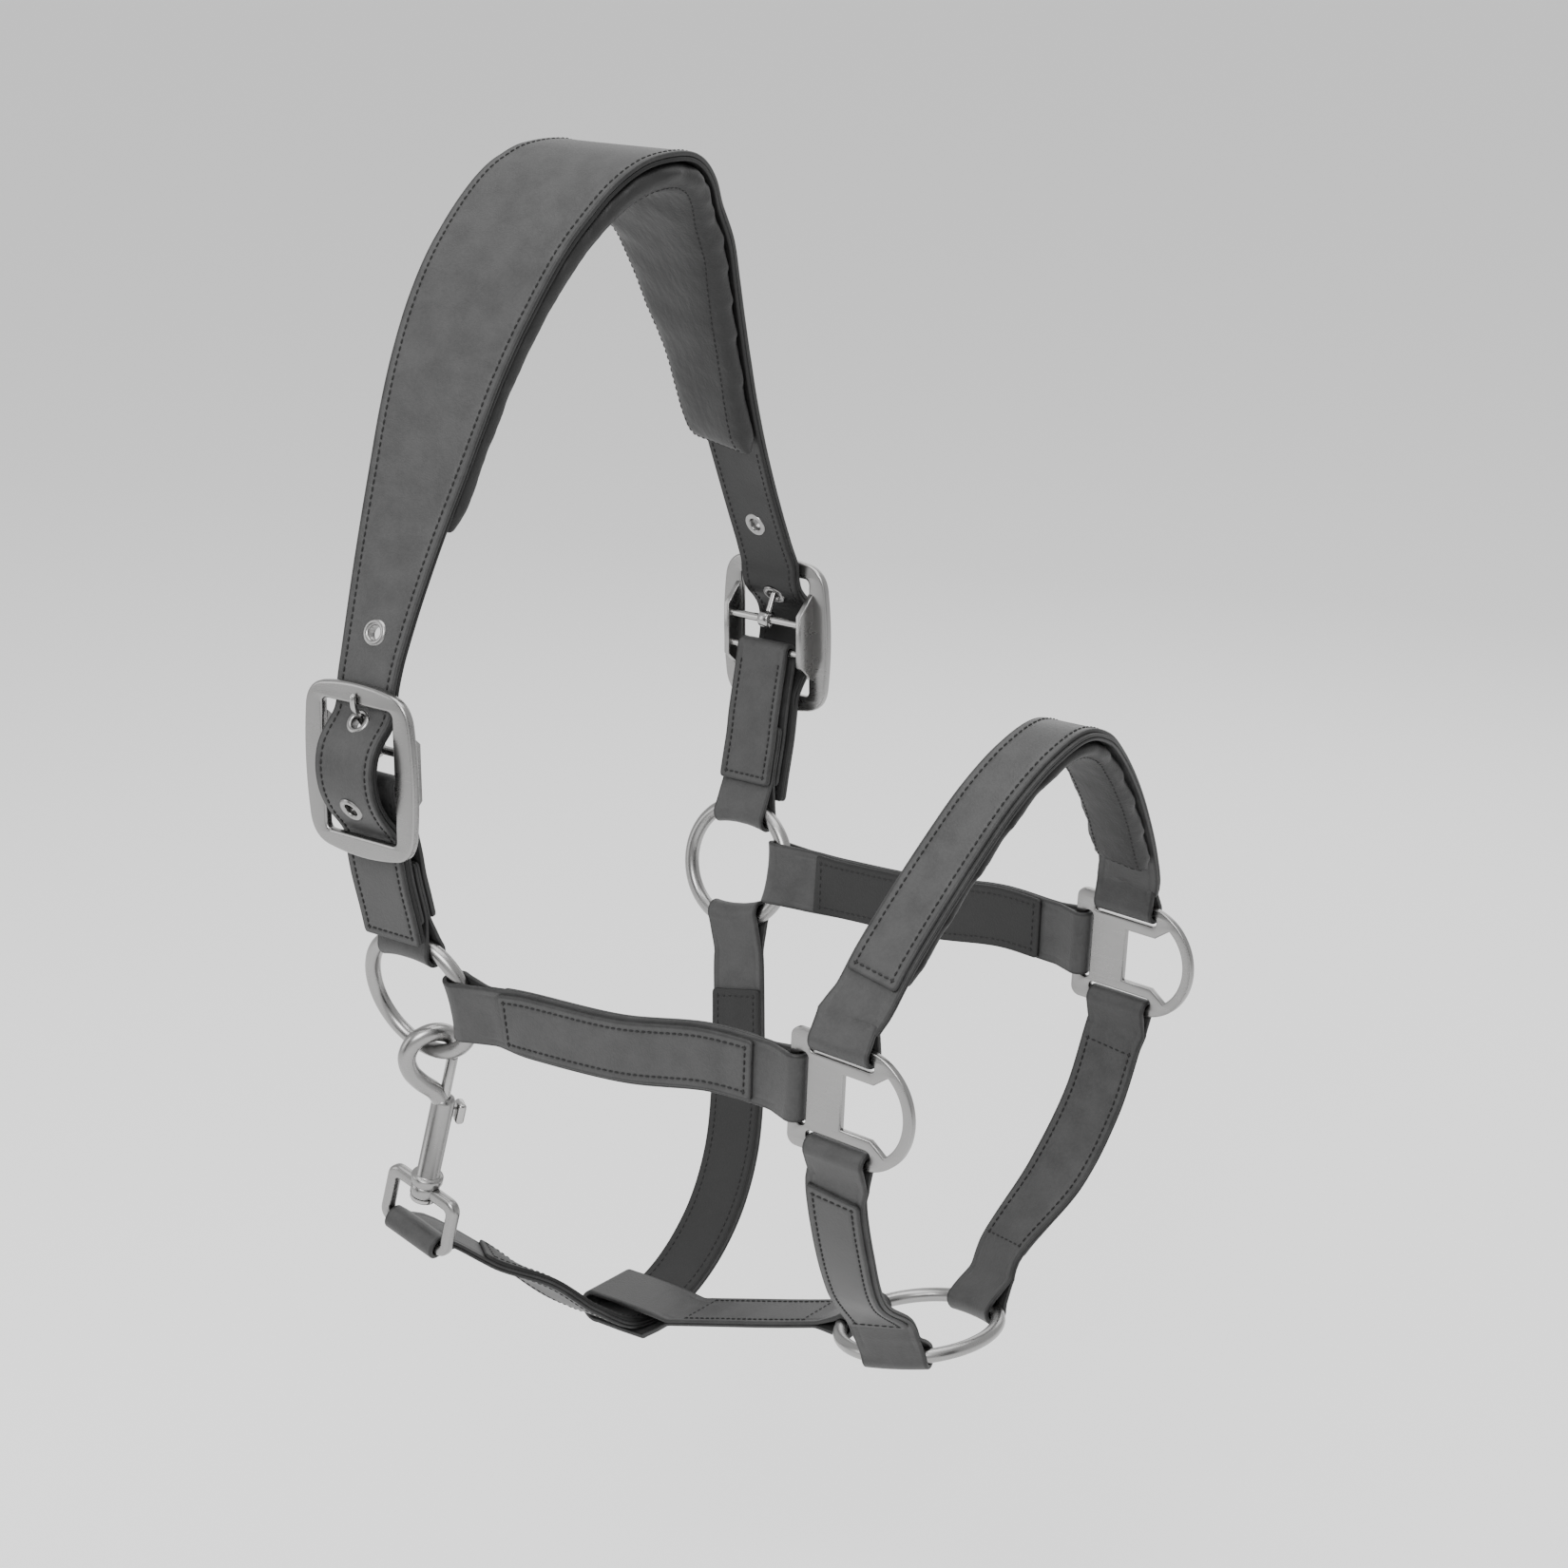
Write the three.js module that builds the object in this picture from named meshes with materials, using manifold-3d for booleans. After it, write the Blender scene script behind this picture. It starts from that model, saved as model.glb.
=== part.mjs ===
// A leather headcollar: a padded headpiece with two buckles, cheek straps, side straps, a padded noseband,
// chin straps on a ring, and a throat strap with a bolt snap. +X points to the nose, +Y to the horse's left.
// The origin is the middle of the poll, on the underside of the headpiece pad. Millimetres.
import * as THREE from "three";
import { mergeVertices } from "three/addons/utils/BufferGeometryUtils.js";
import Module from "manifold-3d";

const wasm = await Module();
wasm.setup();

// ---------------------------------------------------------------- driving dimensions
const GAP = 0.35; // clearance between touching pieces
const STRAP_WIDTH = 29;
const BILLET_WIDTH = 32;
const POLL_WIDTH = 74;
const LEATHER = 2.2; // one layer of strap leather
const BACKING = 1.8; // thin leather behind the headpiece
const PANEL = 1.5; // raised stitched strip on a strap
const BASE = 3; // strap body where it is folded and sewn

const HEAD_HALF_WIDTH = 133; // from the middle plane to the billets behind the buckles
const HEAD_X = -17; // middle line of billets, buckles, cheek straps and side rings
const NOSE_DROP = 191.5; // from the poll down to the top of the noseband
const NOSE_HALF_WIDTH = 102; // from the middle plane to the nose fittings

const PAD_DEPTH = 13;
const PAD_OVERHANG = 3; // pad beyond the headpiece at each long edge
const PAD_WALL = 1.3;
const NOSE_PAD_DEPTH = 8;
const NOSE_PAD_OVERHANG = 1.5;

const BUCKLE_Z = -221.5;
const BUCKLE_OPEN_WIDTH = 40;
const BUCKLE_OPEN_HEIGHT = 57;
const BUCKLE_BAND = 11; // width of the long sides of the frame
const BUCKLE_END_BAND = 9;
const BUCKLE_THICK = 4;
const BAR_RADIUS = 1.9;
const BAR_DEPTH = 8; // bars lie this far inside the frame's middle plane
const TONGUE_BAR_RISE = 8; // above the middle of the buckle
const STRAP_BAR_DROP = 6.5;
const EAR_THICK = 3;
const PRONG_THICK = 2.3;
const PRONG_WIDTH = 2.8;

const EYELET_HOLE_RADIUS = 3.1;
const EYELET_WALL = 0.7;
const EYELET_FLANGE_RADIUS = 5.8;
const EYELET_FLANGE = 0.8;

const SIDE_RING_RADIUS = 28.2; // to the middle of the wire
const SIDE_RING_WIRE = 3.4; // wire radius
const SIDE_RING_TILT = THREE.MathUtils.degToRad(12.5);
const SIDE_RING_CENTRE = new THREE.Vector3(HEAD_X, 108, -329);
const CHIN_RING_RADIUS = 34.4;
const CHIN_RING_WIRE = 3.1;
const CHIN_RING_TILT = THREE.MathUtils.degToRad(8); // front edge up
const CHIN_RING_CENTRE = new THREE.Vector3(169, 0, -471);
const CHIN_LOOP_FORWARD = 11; // chin straps meet the ring this far in front of its middle

const FITTING_CENTRE = new THREE.Vector3(200, NOSE_HALF_WIDTH, -322);
const FITTING_LEAN = THREE.MathUtils.degToRad(3);
const FITTING_THICK = 3;
const FITTING_BAR = 4.5;
const FITTING_SLOT = 4.2;
const FITTING_REAR = 22; // from the middle of the fitting to its rear edge
const FITTING_HALF_HEIGHT = 25.5;
const FITTING_SLOT_X = 3; // middle of the top and bottom slots
const FITTING_PLATE_FRONT = 4;
const FITTING_BOW = 38; // from the middle of the fitting to the front of the bow
const FITTING_BOW_BAND = 4.8;
const FITTING_ARM = 5;

const SNAP_TRAVEL = 7;
const SNAP_ROD_RADIUS = 2.4;
const SNAP_BARREL_RADIUS = 5.2;
const SNAP_HOOK_WIRE = 4.2; // hook section radius
const SNAP_WIRE_OFFSET = 9.5; // the ring's wire lies this far behind the barrel's axis
const SNAP_EYE_BAR = 2.7;
const SNAP_EYE_INSIDE = STRAP_WIDTH + 2;
const SNAP_PIN_RADIUS = 2.9;
const SNAP_EYE_CENTRE = new THREE.Vector3(-39, -95, -452); // middle of the bar that the strap holds
const SNAP_EYE_AXIS = new THREE.Vector3(0.975, 0, -0.2);

const CORNER = 4; // curve segments in a plate's corner
const FOLD = 6; // curve segments in half a turn of a folded strap
const RING_GAP = 0.6; // clearance of a fold round a ring, which curves inside it
const ROUND = 12; // sides of a round bar
const X = new THREE.Vector3(1, 0, 0);
const Y = new THREE.Vector3(0, 1, 0);
const Z = new THREE.Vector3(0, 0, 1);

// ---------------------------------------------------------------- finishes
function finish(color, roughness, metalness) {
  return new THREE.MeshStandardMaterial({ color, roughness, metalness });
}
const leather = finish(0x4a4a4b, 0.55, 0);
const lining = finish(0x343435, 0.6, 0);
const foam = finish(0x8c8c88, 0.95, 0);
const steel = finish(0xb9bbbd, 0.3, 1);
const springSteel = finish(0x9a9ca0, 0.35, 1);

// ---------------------------------------------------------------- solids
const root = new THREE.Group();

function add(name, geometry, material) {
  const mesh = new THREE.Mesh(geometry, material);
  mesh.name = name;
  root.add(mesh);
}

function toSolid(geometry) {
  const bare = geometry.clone();
  bare.deleteAttribute("normal");
  bare.deleteAttribute("uv");
  const merged = mergeVertices(bare, 1e-4);
  return new wasm.Manifold(
    new wasm.Mesh({
      numProp: 3,
      vertProperties: new Float32Array(merged.attributes.position.array),
      triVerts: new Uint32Array(merged.index.array),
    }),
  );
}

function toGeometry(solid) {
  const mesh = solid.getMesh();
  const geometry = new THREE.BufferGeometry();
  geometry.setAttribute("position", new THREE.BufferAttribute(mesh.vertProperties, 3));
  geometry.setIndex(new THREE.BufferAttribute(mesh.triVerts, 1));
  return geometry;
}

function join(...geometries) {
  return toGeometry(geometries.map(toSolid).reduce((a, b) => a.add(b)));
}

function cut(geometry, ...tools) {
  return toGeometry([geometry, ...tools].map(toSolid).reduce((a, b) => a.subtract(b)));
}

// A closed skin from rings of points, each ring with as many points as the last.
function loft(rings) {
  const count = rings[0].length;
  const positions = rings.flat().flatMap((p) => [p.x, p.y, p.z]);
  const faces = [];
  for (let i = 0; i + 1 < rings.length; i++) {
    for (let j = 0; j < count; j++) {
      const a = i * count + j;
      const b = i * count + ((j + 1) % count);
      // Facing layers split their quads along the same diagonal, so twisted layers stay parallel.
      if (2 * (j + 1) < count) faces.push(a, b, b + count, a, b + count, a + count);
      else faces.push(a, b, a + count, b, b + count, a + count);
    }
  }
  const last = (rings.length - 1) * count;
  for (let j = 1; j + 1 < count; j++) {
    faces.push(0, j + 1, j, last, last + j, last + j + 1);
  }
  return closed(positions, faces);
}

// A tube with a wall and open ends, from outer and inner rings.
function sleeve(outer, inner) {
  const count = outer[0].length;
  const rows = outer.length;
  const positions = [...outer, ...inner].flat().flatMap((p) => [p.x, p.y, p.z]);
  const faces = [];
  const inside = rows * count;
  for (let i = 0; i + 1 < rows; i++) {
    for (let j = 0; j < count; j++) {
      const a = i * count + j;
      const b = i * count + ((j + 1) % count);
      faces.push(a, b, a + count, b, b + count, a + count);
      const [c, d] = [inside + a, inside + b];
      faces.push(c, c + count, d, d, c + count, d + count);
    }
  }
  for (const row of [0, rows - 1]) {
    for (let j = 0; j < count; j++) {
      const a = row * count + j;
      const b = row * count + ((j + 1) % count);
      const ends = [a, inside + a, inside + b, a, inside + b, b];
      faces.push(...(row ? ends.reverse() : ends));
    }
  }
  return closed(positions, faces);
}

// Turns the faces outwards, whichever way the rings ran.
function closed(positions, faces) {
  let volume = 0;
  const corner = (i) => new THREE.Vector3().fromArray(positions, faces[i] * 3);
  for (let i = 0; i < faces.length; i += 3) {
    volume += corner(i).dot(corner(i + 1).cross(corner(i + 2)));
  }
  if (volume < 0) faces.reverse();
  const geometry = new THREE.BufferGeometry();
  geometry.setAttribute("position", new THREE.Float32BufferAttribute(positions, 3));
  geometry.setIndex(faces);
  return geometry;
}

// An outline drawn on the axes along and up, with its thickness centred on the point given.
function plate(shape, thickness, centre, along, up, bevel = 0, segments = CORNER) {
  const geometry = new THREE.ExtrudeGeometry(shape, {
    depth: thickness - 2 * bevel,
    bevelEnabled: bevel > 0,
    bevelSize: bevel,
    bevelOffset: -bevel,
    bevelThickness: bevel,
    bevelSegments: 1,
    curveSegments: segments,
  });
  geometry.translate(0, 0, bevel - thickness / 2);
  const across = new THREE.Vector3().crossVectors(along, up);
  const place = new THREE.Matrix4().makeBasis(along, up, across).setPosition(centre);
  return geometry.applyMatrix4(place);
}

function rod(radius, start, end, sides = ROUND) {
  const axis = new THREE.Vector3().subVectors(end, start);
  const geometry = new THREE.CylinderGeometry(radius, radius, axis.length(), sides);
  const turn = new THREE.Quaternion().setFromUnitVectors(Y, axis.clone().normalize());
  const middle = new THREE.Vector3().addVectors(start, end).multiplyScalar(0.5);
  return geometry.applyQuaternion(turn).translate(middle.x, middle.y, middle.z);
}

function roundedBox(width, height, radius) {
  const shape = new THREE.Shape();
  const x = width / 2;
  const y = height / 2;
  shape.moveTo(-x + radius, -y);
  shape.lineTo(x - radius, -y);
  shape.absarc(x - radius, -y + radius, radius, -Math.PI / 2, 0);
  shape.lineTo(x, y - radius);
  shape.absarc(x - radius, y - radius, radius, 0, Math.PI / 2);
  shape.lineTo(-x + radius, y);
  shape.absarc(-x + radius, y - radius, radius, Math.PI / 2, Math.PI);
  shape.lineTo(-x, -y + radius);
  shape.absarc(-x + radius, -y + radius, radius, Math.PI, 1.5 * Math.PI);
  return shape;
}

function rectangle(width, height) {
  const x = width / 2;
  const y = height / 2;
  const corners = [[-x, -y], [x, -y], [x, y], [-x, y]];
  return new THREE.Shape(corners.map(([u, v]) => new THREE.Vector2(u, v)));
}

// A round-ended outline of the given radius from the origin to the point (x, y).
function stadium(x, y, radius) {
  const angle = Math.atan2(y, x);
  const shape = new THREE.Shape();
  shape.absarc(x, y, radius, angle - Math.PI / 2, angle + Math.PI / 2);
  shape.absarc(0, 0, radius, angle + Math.PI / 2, angle + 1.5 * Math.PI);
  return shape;
}

const point = (x, y, z) => new THREE.Vector3(x, y, z);
const mirrored = (v, side) => point(v.x, v.y * side, v.z);

// ---------------------------------------------------------------- strap runs
// Numbers at even steps between two values, both included.
function evenShares(from, to, steps) {
  return Array.from({ length: steps + 1 }, (_, i) => from + ((to - from) * i) / steps);
}

// The middle line of a strap, with its width direction and its outward direction at each step.
class Run {
  constructor(points, across, outward, steps) {
    const widths = Array.isArray(across) ? across : points.map(() => across);
    this.line = new THREE.CatmullRomCurve3(points, false, "centripetal");
    this.line.arcLengthDivisions = 1000;
    this.widths = new THREE.CatmullRomCurve3(widths, false, "catmullrom", 0.5);
    this.outward = outward;
    this.length = this.line.getLength();
    this.shares = Array.isArray(steps) ? steps : evenShares(0, 1, steps);
    this.steps = this.shares.length - 1;
    this.stations = this.shares.map((share) => this.station(share));
  }

  // The strap's place and directions at a share of its length.
  station(share) {
    const t = this.line.getUtoTmapping(share);
    const tangent = this.line.getTangent(t);
    const side = this.widths.getPoint(t);
    side.addScaledVector(tangent, -side.dot(tangent)).normalize();
    const normal = new THREE.Vector3().crossVectors(side, tangent);
    this.sign = this.sign || Math.sign(normal.dot(this.outward));
    return { at: this.line.getPoint(t), tangent, side, normal: normal.multiplyScalar(this.sign) };
  }

  place(i, across, out) {
    const s = this.stations[i];
    return s.at.clone().addScaledVector(s.side, across).addScaledVector(s.normal, out);
  }
}

// One flat layer of a strap between two heights over the run's middle line.
function layer(run, width, low, high, first = 0, last = run.steps) {
  const rings = [];
  for (let i = first; i <= last; i++) {
    const half = (typeof width === "function" ? width(run.shares[i]) : width) / 2;
    rings.push([
      run.place(i, -half, low),
      run.place(i, half, low),
      run.place(i, half, high),
      run.place(i, -half, high),
    ]);
  }
  return loft(rings);
}

// A padded section: round edges, flat back, deepest in the middle.
function padRing(run, i, width, high, low, inset) {
  const half = width / 2 - inset;
  const top = high - inset;
  const bottom = low + inset;
  const round = Math.min((top - bottom) / 2, half) * 0.98;
  const middle = (top + bottom) / 2;
  const ring = [];
  for (const [edge, start] of [[half - round, -90], [round - half, 90]]) {
    for (let k = 0; k <= 4; k++) {
      const a = THREE.MathUtils.degToRad(start + 45 * k);
      ring.push(run.place(i, edge + round * Math.cos(a), middle + ((top - bottom) / 2) * Math.sin(a)));
    }
  }
  return ring;
}

// The end of a strap folded round a bar at the run's first or last station: reach is how far the bar
// bends away from the fold line within the strap's width, as a vector.
function eye(run, end, width, barRadius, reach = new THREE.Vector3(), gap = GAP) {
  const s = run.stations[end];
  const away = s.tangent.clone().multiplyScalar(end ? 1 : -1);
  const x = reach.dot(away);
  const y = reach.dot(s.normal);
  const hole = barRadius + gap;
  return {
    loop: plate(stadium(x, y, hole + LEATHER), width, s.at, away, s.normal, 0, FOLD),
    hole: plate(stadium(x, y, hole), width + 2, s.at, away, s.normal, 0, FOLD),
  };
}

function foldedStrap(body, ...eyes) {
  return cut(join(body, ...eyes.map((e) => e.loop)), ...eyes.map((e) => e.hole));
}

// How far a ring's wire falls back from its tangent within half a strap's width.
function wireBend(radius, wire) {
  const inside = radius - wire;
  return inside - Math.sqrt(inside ** 2 - (STRAP_WIDTH / 2) ** 2);
}

// ---------------------------------------------------------------- headpiece
const FRAME_Y = HEAD_HALF_WIDTH + 5; // middle plane of the buckle frames
// Middle surface of the billet through and below the buckle: distance outside the frame, height.
const BILLET_WEAVE = [
  [-5.3, 34],
  [-5, 29.5],
  [-3.3, 23.5],
  [-0.7, 20],
  [3.4, 16],
  [7, 11],
  [8.8, 4.5],
  [8.9, -1.5],
  [7.2, -9.5],
  [3, -17.5],
  [-2.2, -24],
  [-5.4, -29],
  [-6.3, -35.5],
];
const TAIL = [
  [129.5, -270],
  [125.2, -287],
  [122.4, -299],
];
// Middle surface of the headpiece from the poll down, with its turn towards the face in degrees.
const CREST = [
  [1, 0, 18.5, 0],
  [0, 14, 16.8, 0],
  [-3, 28, 10, 2],
  [-7, 42, -2, 5],
  [-9.5, 58.5, -20, 8],
  [-12.5, 71.5, -40.5, 11],
  [-14.5, 82, -61, 13],
  [-15.5, 91, -81, 15],
  [-16.5, 99, -101, 15],
  [-17.5, 107, -121, 13],
  [-18, 115, -141, 10],
  [-18, 122.5, -160, 6],
  [-17.5, 129.5, -178, 2],
];

function headpieceHalf(side) {
  const weave = BILLET_WEAVE.map(([out, up]) => point(HEAD_X, side * (FRAME_Y + out), BUCKLE_Z + up));
  const tail = TAIL.map(([y, z]) => point(HEAD_X, side * y, z));
  const crest = CREST.map(([x, y, z]) => point(x, side * y, z));
  return [...crest, ...weave, ...tail];
}

function headpieceAcross(side) {
  const turned = CREST.map(([, , , turn]) => {
    const a = THREE.MathUtils.degToRad(turn);
    return point(Math.cos(a), -side * Math.sin(a), 0);
  });
  return [...turned, ...BILLET_WEAVE.map(() => X), ...TAIL.map(() => X)];
}

// Long steps on the tail and the crest, short ones through the buckle.
const HALF_SHARES = [
  ...evenShares(0, 0.055, 4),
  ...evenShares(0.0583, 0.1917, 26),
  ...evenShares(0.205, 0.5, 20),
];
const headpieceRun = new Run(
  [...headpieceHalf(-1).reverse(), ...headpieceHalf(1).slice(1)],
  [...headpieceAcross(-1).reverse(), ...headpieceAcross(1).slice(1)],
  point(0, -1, 0),
  [...HALF_SHARES, ...HALF_SHARES.toReversed().slice(1).map((share) => 1 - share)],
);
const PAD_STEPS = 17; // steps of the run on each side of the poll that the pad covers
const TAPER_SHARE = 0.176; // billets start to widen here

function headpieceWidth(share) {
  const fromEnd = Math.min(share, 1 - share);
  const straight = Math.max(0, (fromEnd - TAPER_SHARE) / (0.5 - TAPER_SHARE));
  const rise = (straight + THREE.MathUtils.smoothstep(fromEnd, TAPER_SHARE, 0.5)) / 2;
  return BILLET_WIDTH + (POLL_WIDTH - BILLET_WIDTH) * rise;
}

const EYELET_PITCH = 38;
const PRONG_HOLE_UP = 20; // the prong's eyelet above the middle of the buckle

// The share of the headpiece's length, from the tail, where its middle line reaches a height.
function shareAtHeight(z) {
  let low = 0;
  let high = 0.4;
  for (let i = 0; i < 40; i++) {
    const middle = (low + high) / 2;
    if (headpieceRun.station(middle).at.z < z) low = middle;
    else high = middle;
  }
  return low;
}

const PRONG_SHARE = shareAtHeight(BUCKLE_Z + PRONG_HOLE_UP);
const EYELET_SHARES = [-1, 0, 1].map((n) => PRONG_SHARE + (n * EYELET_PITCH) / headpieceRun.length);

const BILLET_TOP = LEATHER / 2 + BACKING / 2 + 0.15;
const OUTER_LOW = BILLET_TOP - LEATHER;
const BACKING_HIGH = OUTER_LOW - 0.3;
const BACKING_LOW = BACKING_HIGH - BACKING;

function eyeletStation(side, index) {
  const share = EYELET_SHARES[index];
  return headpieceRun.station(side < 0 ? share : 1 - share);
}

function eyelet(station) {
  const barrel = EYELET_HOLE_RADIUS + EYELET_WALL;
  const top = BILLET_TOP + GAP;
  const bottom = BACKING_LOW - GAP;
  const profile = [
    [EYELET_HOLE_RADIUS, bottom - EYELET_FLANGE],
    [EYELET_FLANGE_RADIUS, bottom - EYELET_FLANGE / 2],
    [EYELET_FLANGE_RADIUS, bottom],
    [barrel, bottom],
    [barrel, top],
    [EYELET_FLANGE_RADIUS, top],
    [EYELET_FLANGE_RADIUS, top + EYELET_FLANGE / 2],
    [EYELET_HOLE_RADIUS, top + EYELET_FLANGE],
    [EYELET_HOLE_RADIUS, bottom - EYELET_FLANGE],
  ].map(([r, y]) => new THREE.Vector2(r, y));
  const geometry = new THREE.LatheGeometry(profile, ROUND);
  const turn = new THREE.Quaternion().setFromUnitVectors(Y, station.normal);
  return geometry.applyQuaternion(turn).translate(station.at.x, station.at.y, station.at.z);
}

// The hole for the barrel and the pressed seats under the two flanges.
function eyeletTools(station) {
  const at = (height) => station.at.clone().addScaledVector(station.normal, height);
  const seat = EYELET_FLANGE_RADIUS + GAP;
  return [
    rod(EYELET_HOLE_RADIUS + EYELET_WALL + GAP, at(-8), at(8)),
    rod(seat, at(BILLET_TOP), at(8)),
    rod(seat, at(-8), at(BACKING_LOW)),
  ];
}

function makeHeadpiece() {
  const stations = [-1, 1].flatMap((side) => EYELET_SHARES.map((_, i) => eyeletStation(side, i)));
  const holes = stations.flatMap(eyeletTools);
  const outer = layer(headpieceRun, headpieceWidth, OUTER_LOW, BILLET_TOP);
  const backing = layer(headpieceRun, headpieceWidth, BACKING_LOW, BACKING_HIGH);
  add("headpiece_outer", cut(outer, ...holes), leather);
  add("headpiece_backing", cut(backing, ...holes), lining);
  for (const side of [-1, 1]) {
    EYELET_SHARES.forEach((_, i) => {
      const name = (side < 0 ? "right" : "left") + "_eyelet_" + (i + 1);
      add(name, eyelet(eyeletStation(side, i)), steel);
    });
  }
  const first = headpieceRun.steps / 2 - PAD_STEPS;
  const last = headpieceRun.steps / 2 + PAD_STEPS;
  const high = BACKING_LOW - GAP;
  makePad("headpiece_pad", headpieceRun, first, last, 1, {
    width: (share) => headpieceWidth(share) + 2 * PAD_OVERHANG,
    high,
    low: () => high - PAD_DEPTH,
  });
}

// A padded lining: a leather sleeve with a foam core.
function makePad(name, run, first, last, stride, { width, high, low }) {
  const section = (inset, from, to) => {
    const rings = [];
    for (let i = from; i <= to; i += stride) {
      rings.push(padRing(run, i, width(run.shares[i]), high, low(), inset));
    }
    return rings;
  };
  add(name + "_cover", sleeve(section(0, first, last), section(PAD_WALL, first, last)), lining);
  add(name + "_foam", loft(section(PAD_WALL + GAP, first, last)), foam);
}

// ---------------------------------------------------------------- buckles
function bowedOutline(width, height) {
  const shape = new THREE.Shape();
  const x = width / 2;
  const y = height / 2;
  const corner = 13;
  const bow = 1.6;
  shape.moveTo(-x + corner, -y + bow);
  shape.quadraticCurveTo(0, -y - bow, x - corner, -y + bow);
  shape.quadraticCurveTo(x - 2, -y + 3, x - 1, -y + corner + 2);
  shape.quadraticCurveTo(x + bow, 0, x - 1, y - corner - 2);
  shape.quadraticCurveTo(x - 2, y - 3, x - corner, y - bow);
  shape.quadraticCurveTo(0, y + bow, -x + corner, y - bow);
  shape.quadraticCurveTo(-x + 2, y - 3, -x + 1, y - corner - 2);
  shape.quadraticCurveTo(-x - bow, 0, -x + 1, -y + corner + 2);
  shape.quadraticCurveTo(-x + 2, -y + 3, -x + corner, -y + bow);
  return shape;
}

function makeBuckle(side) {
  const name = side < 0 ? "right" : "left";
  const centre = point(HEAD_X, side * FRAME_Y, BUCKLE_Z);
  const out = point(0, side, 0);
  const at = (x, outside, up) => point(HEAD_X + x, side * (FRAME_Y + outside), BUCKLE_Z + up);
  const frame = bowedOutline(BUCKLE_OPEN_WIDTH + 2 * BUCKLE_BAND, BUCKLE_OPEN_HEIGHT + 2 * BUCKLE_END_BAND);
  frame.holes.push(roundedBox(BUCKLE_OPEN_WIDTH, BUCKLE_OPEN_HEIGHT, 1.5));
  const bars = { tongue: TONGUE_BAR_RISE, strap: -STRAP_BAR_DROP };
  const earX = BUCKLE_OPEN_WIDTH / 2 + EAR_THICK / 2;
  const ear = new THREE.Shape([
    new THREE.Vector2(-1, -20),
    new THREE.Vector2(-1, 22),
    new THREE.Vector2(-BUCKLE_THICK / 2, 22),
    new THREE.Vector2(-BAR_DEPTH - 3.6, 13),
    new THREE.Vector2(-BAR_DEPTH - 3.6, -11.5),
    new THREE.Vector2(-BUCKLE_THICK / 2, -20),
  ]);
  const ears = [-earX, earX].map((x) => plate(ear, EAR_THICK, at(x, 0, 0), out, Z));
  const barEnd = BUCKLE_OPEN_WIDTH / 2 + EAR_THICK - 0.2;
  const holes = Object.values(bars).map((up) =>
    rod(BAR_RADIUS + GAP, at(-barEnd - 2, -BAR_DEPTH, up), at(barEnd + 2, -BAR_DEPTH, up)),
  );
  const body = join(plate(frame, BUCKLE_THICK, centre, X, Z), ...ears);
  add(name + "_buckle_frame", cut(body, ...holes), steel);
  for (const [bar, up] of Object.entries(bars)) {
    const pin = rod(BAR_RADIUS, at(-barEnd, -BAR_DEPTH, up), at(barEnd, -BAR_DEPTH, up));
    add(name + "_" + bar + "_bar", pin, steel);
  }
  add(name + "_buckle_tongue", tongue(at, out), steel);
}

// The prong: a sleeve on its bar, a straight shank through the eyelet and a tip on the frame.
function tongue(at, out) {
  const rest = BUCKLE_THICK / 2 + GAP + PRONG_THICK / 2; // tip's middle over the frame
  const half = PRONG_THICK / 2;
  const foot = [-BAR_DEPTH, TONGUE_BAR_RISE];
  const bend = [rest, BUCKLE_OPEN_HEIGHT / 2 - 0.5];
  const slope = Math.atan2(bend[1] - foot[1], bend[0] - foot[0]);
  const dx = half * Math.sin(slope);
  const dy = half * Math.cos(slope);
  const tip = BUCKLE_OPEN_HEIGHT / 2 + 5.5;
  const shape = new THREE.Shape([
    new THREE.Vector2(foot[0] - dx, foot[1] + dy),
    new THREE.Vector2(foot[0] + dx, foot[1] - dy),
    new THREE.Vector2(bend[0] + half, bend[1] - 0.8),
    new THREE.Vector2(rest + half, tip - 0.8),
    new THREE.Vector2(rest + half - 0.8, tip),
    new THREE.Vector2(rest - half + 0.8, tip),
    new THREE.Vector2(rest - half, tip - 0.8),
    new THREE.Vector2(bend[0] - half, bend[1] + 0.6),
  ]);
  const sleeveWidth = PRONG_WIDTH + 3;
  const barrel = (radius, width) => rod(radius, at(-width / 2, ...foot), at(width / 2, ...foot));
  return cut(
    join(plate(shape, PRONG_WIDTH, at(0, 0, 0), out, Z), barrel(BAR_RADIUS + GAP + 1.7, sleeveWidth)),
    barrel(BAR_RADIUS + GAP, sleeveWidth + 2),
  );
}

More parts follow.
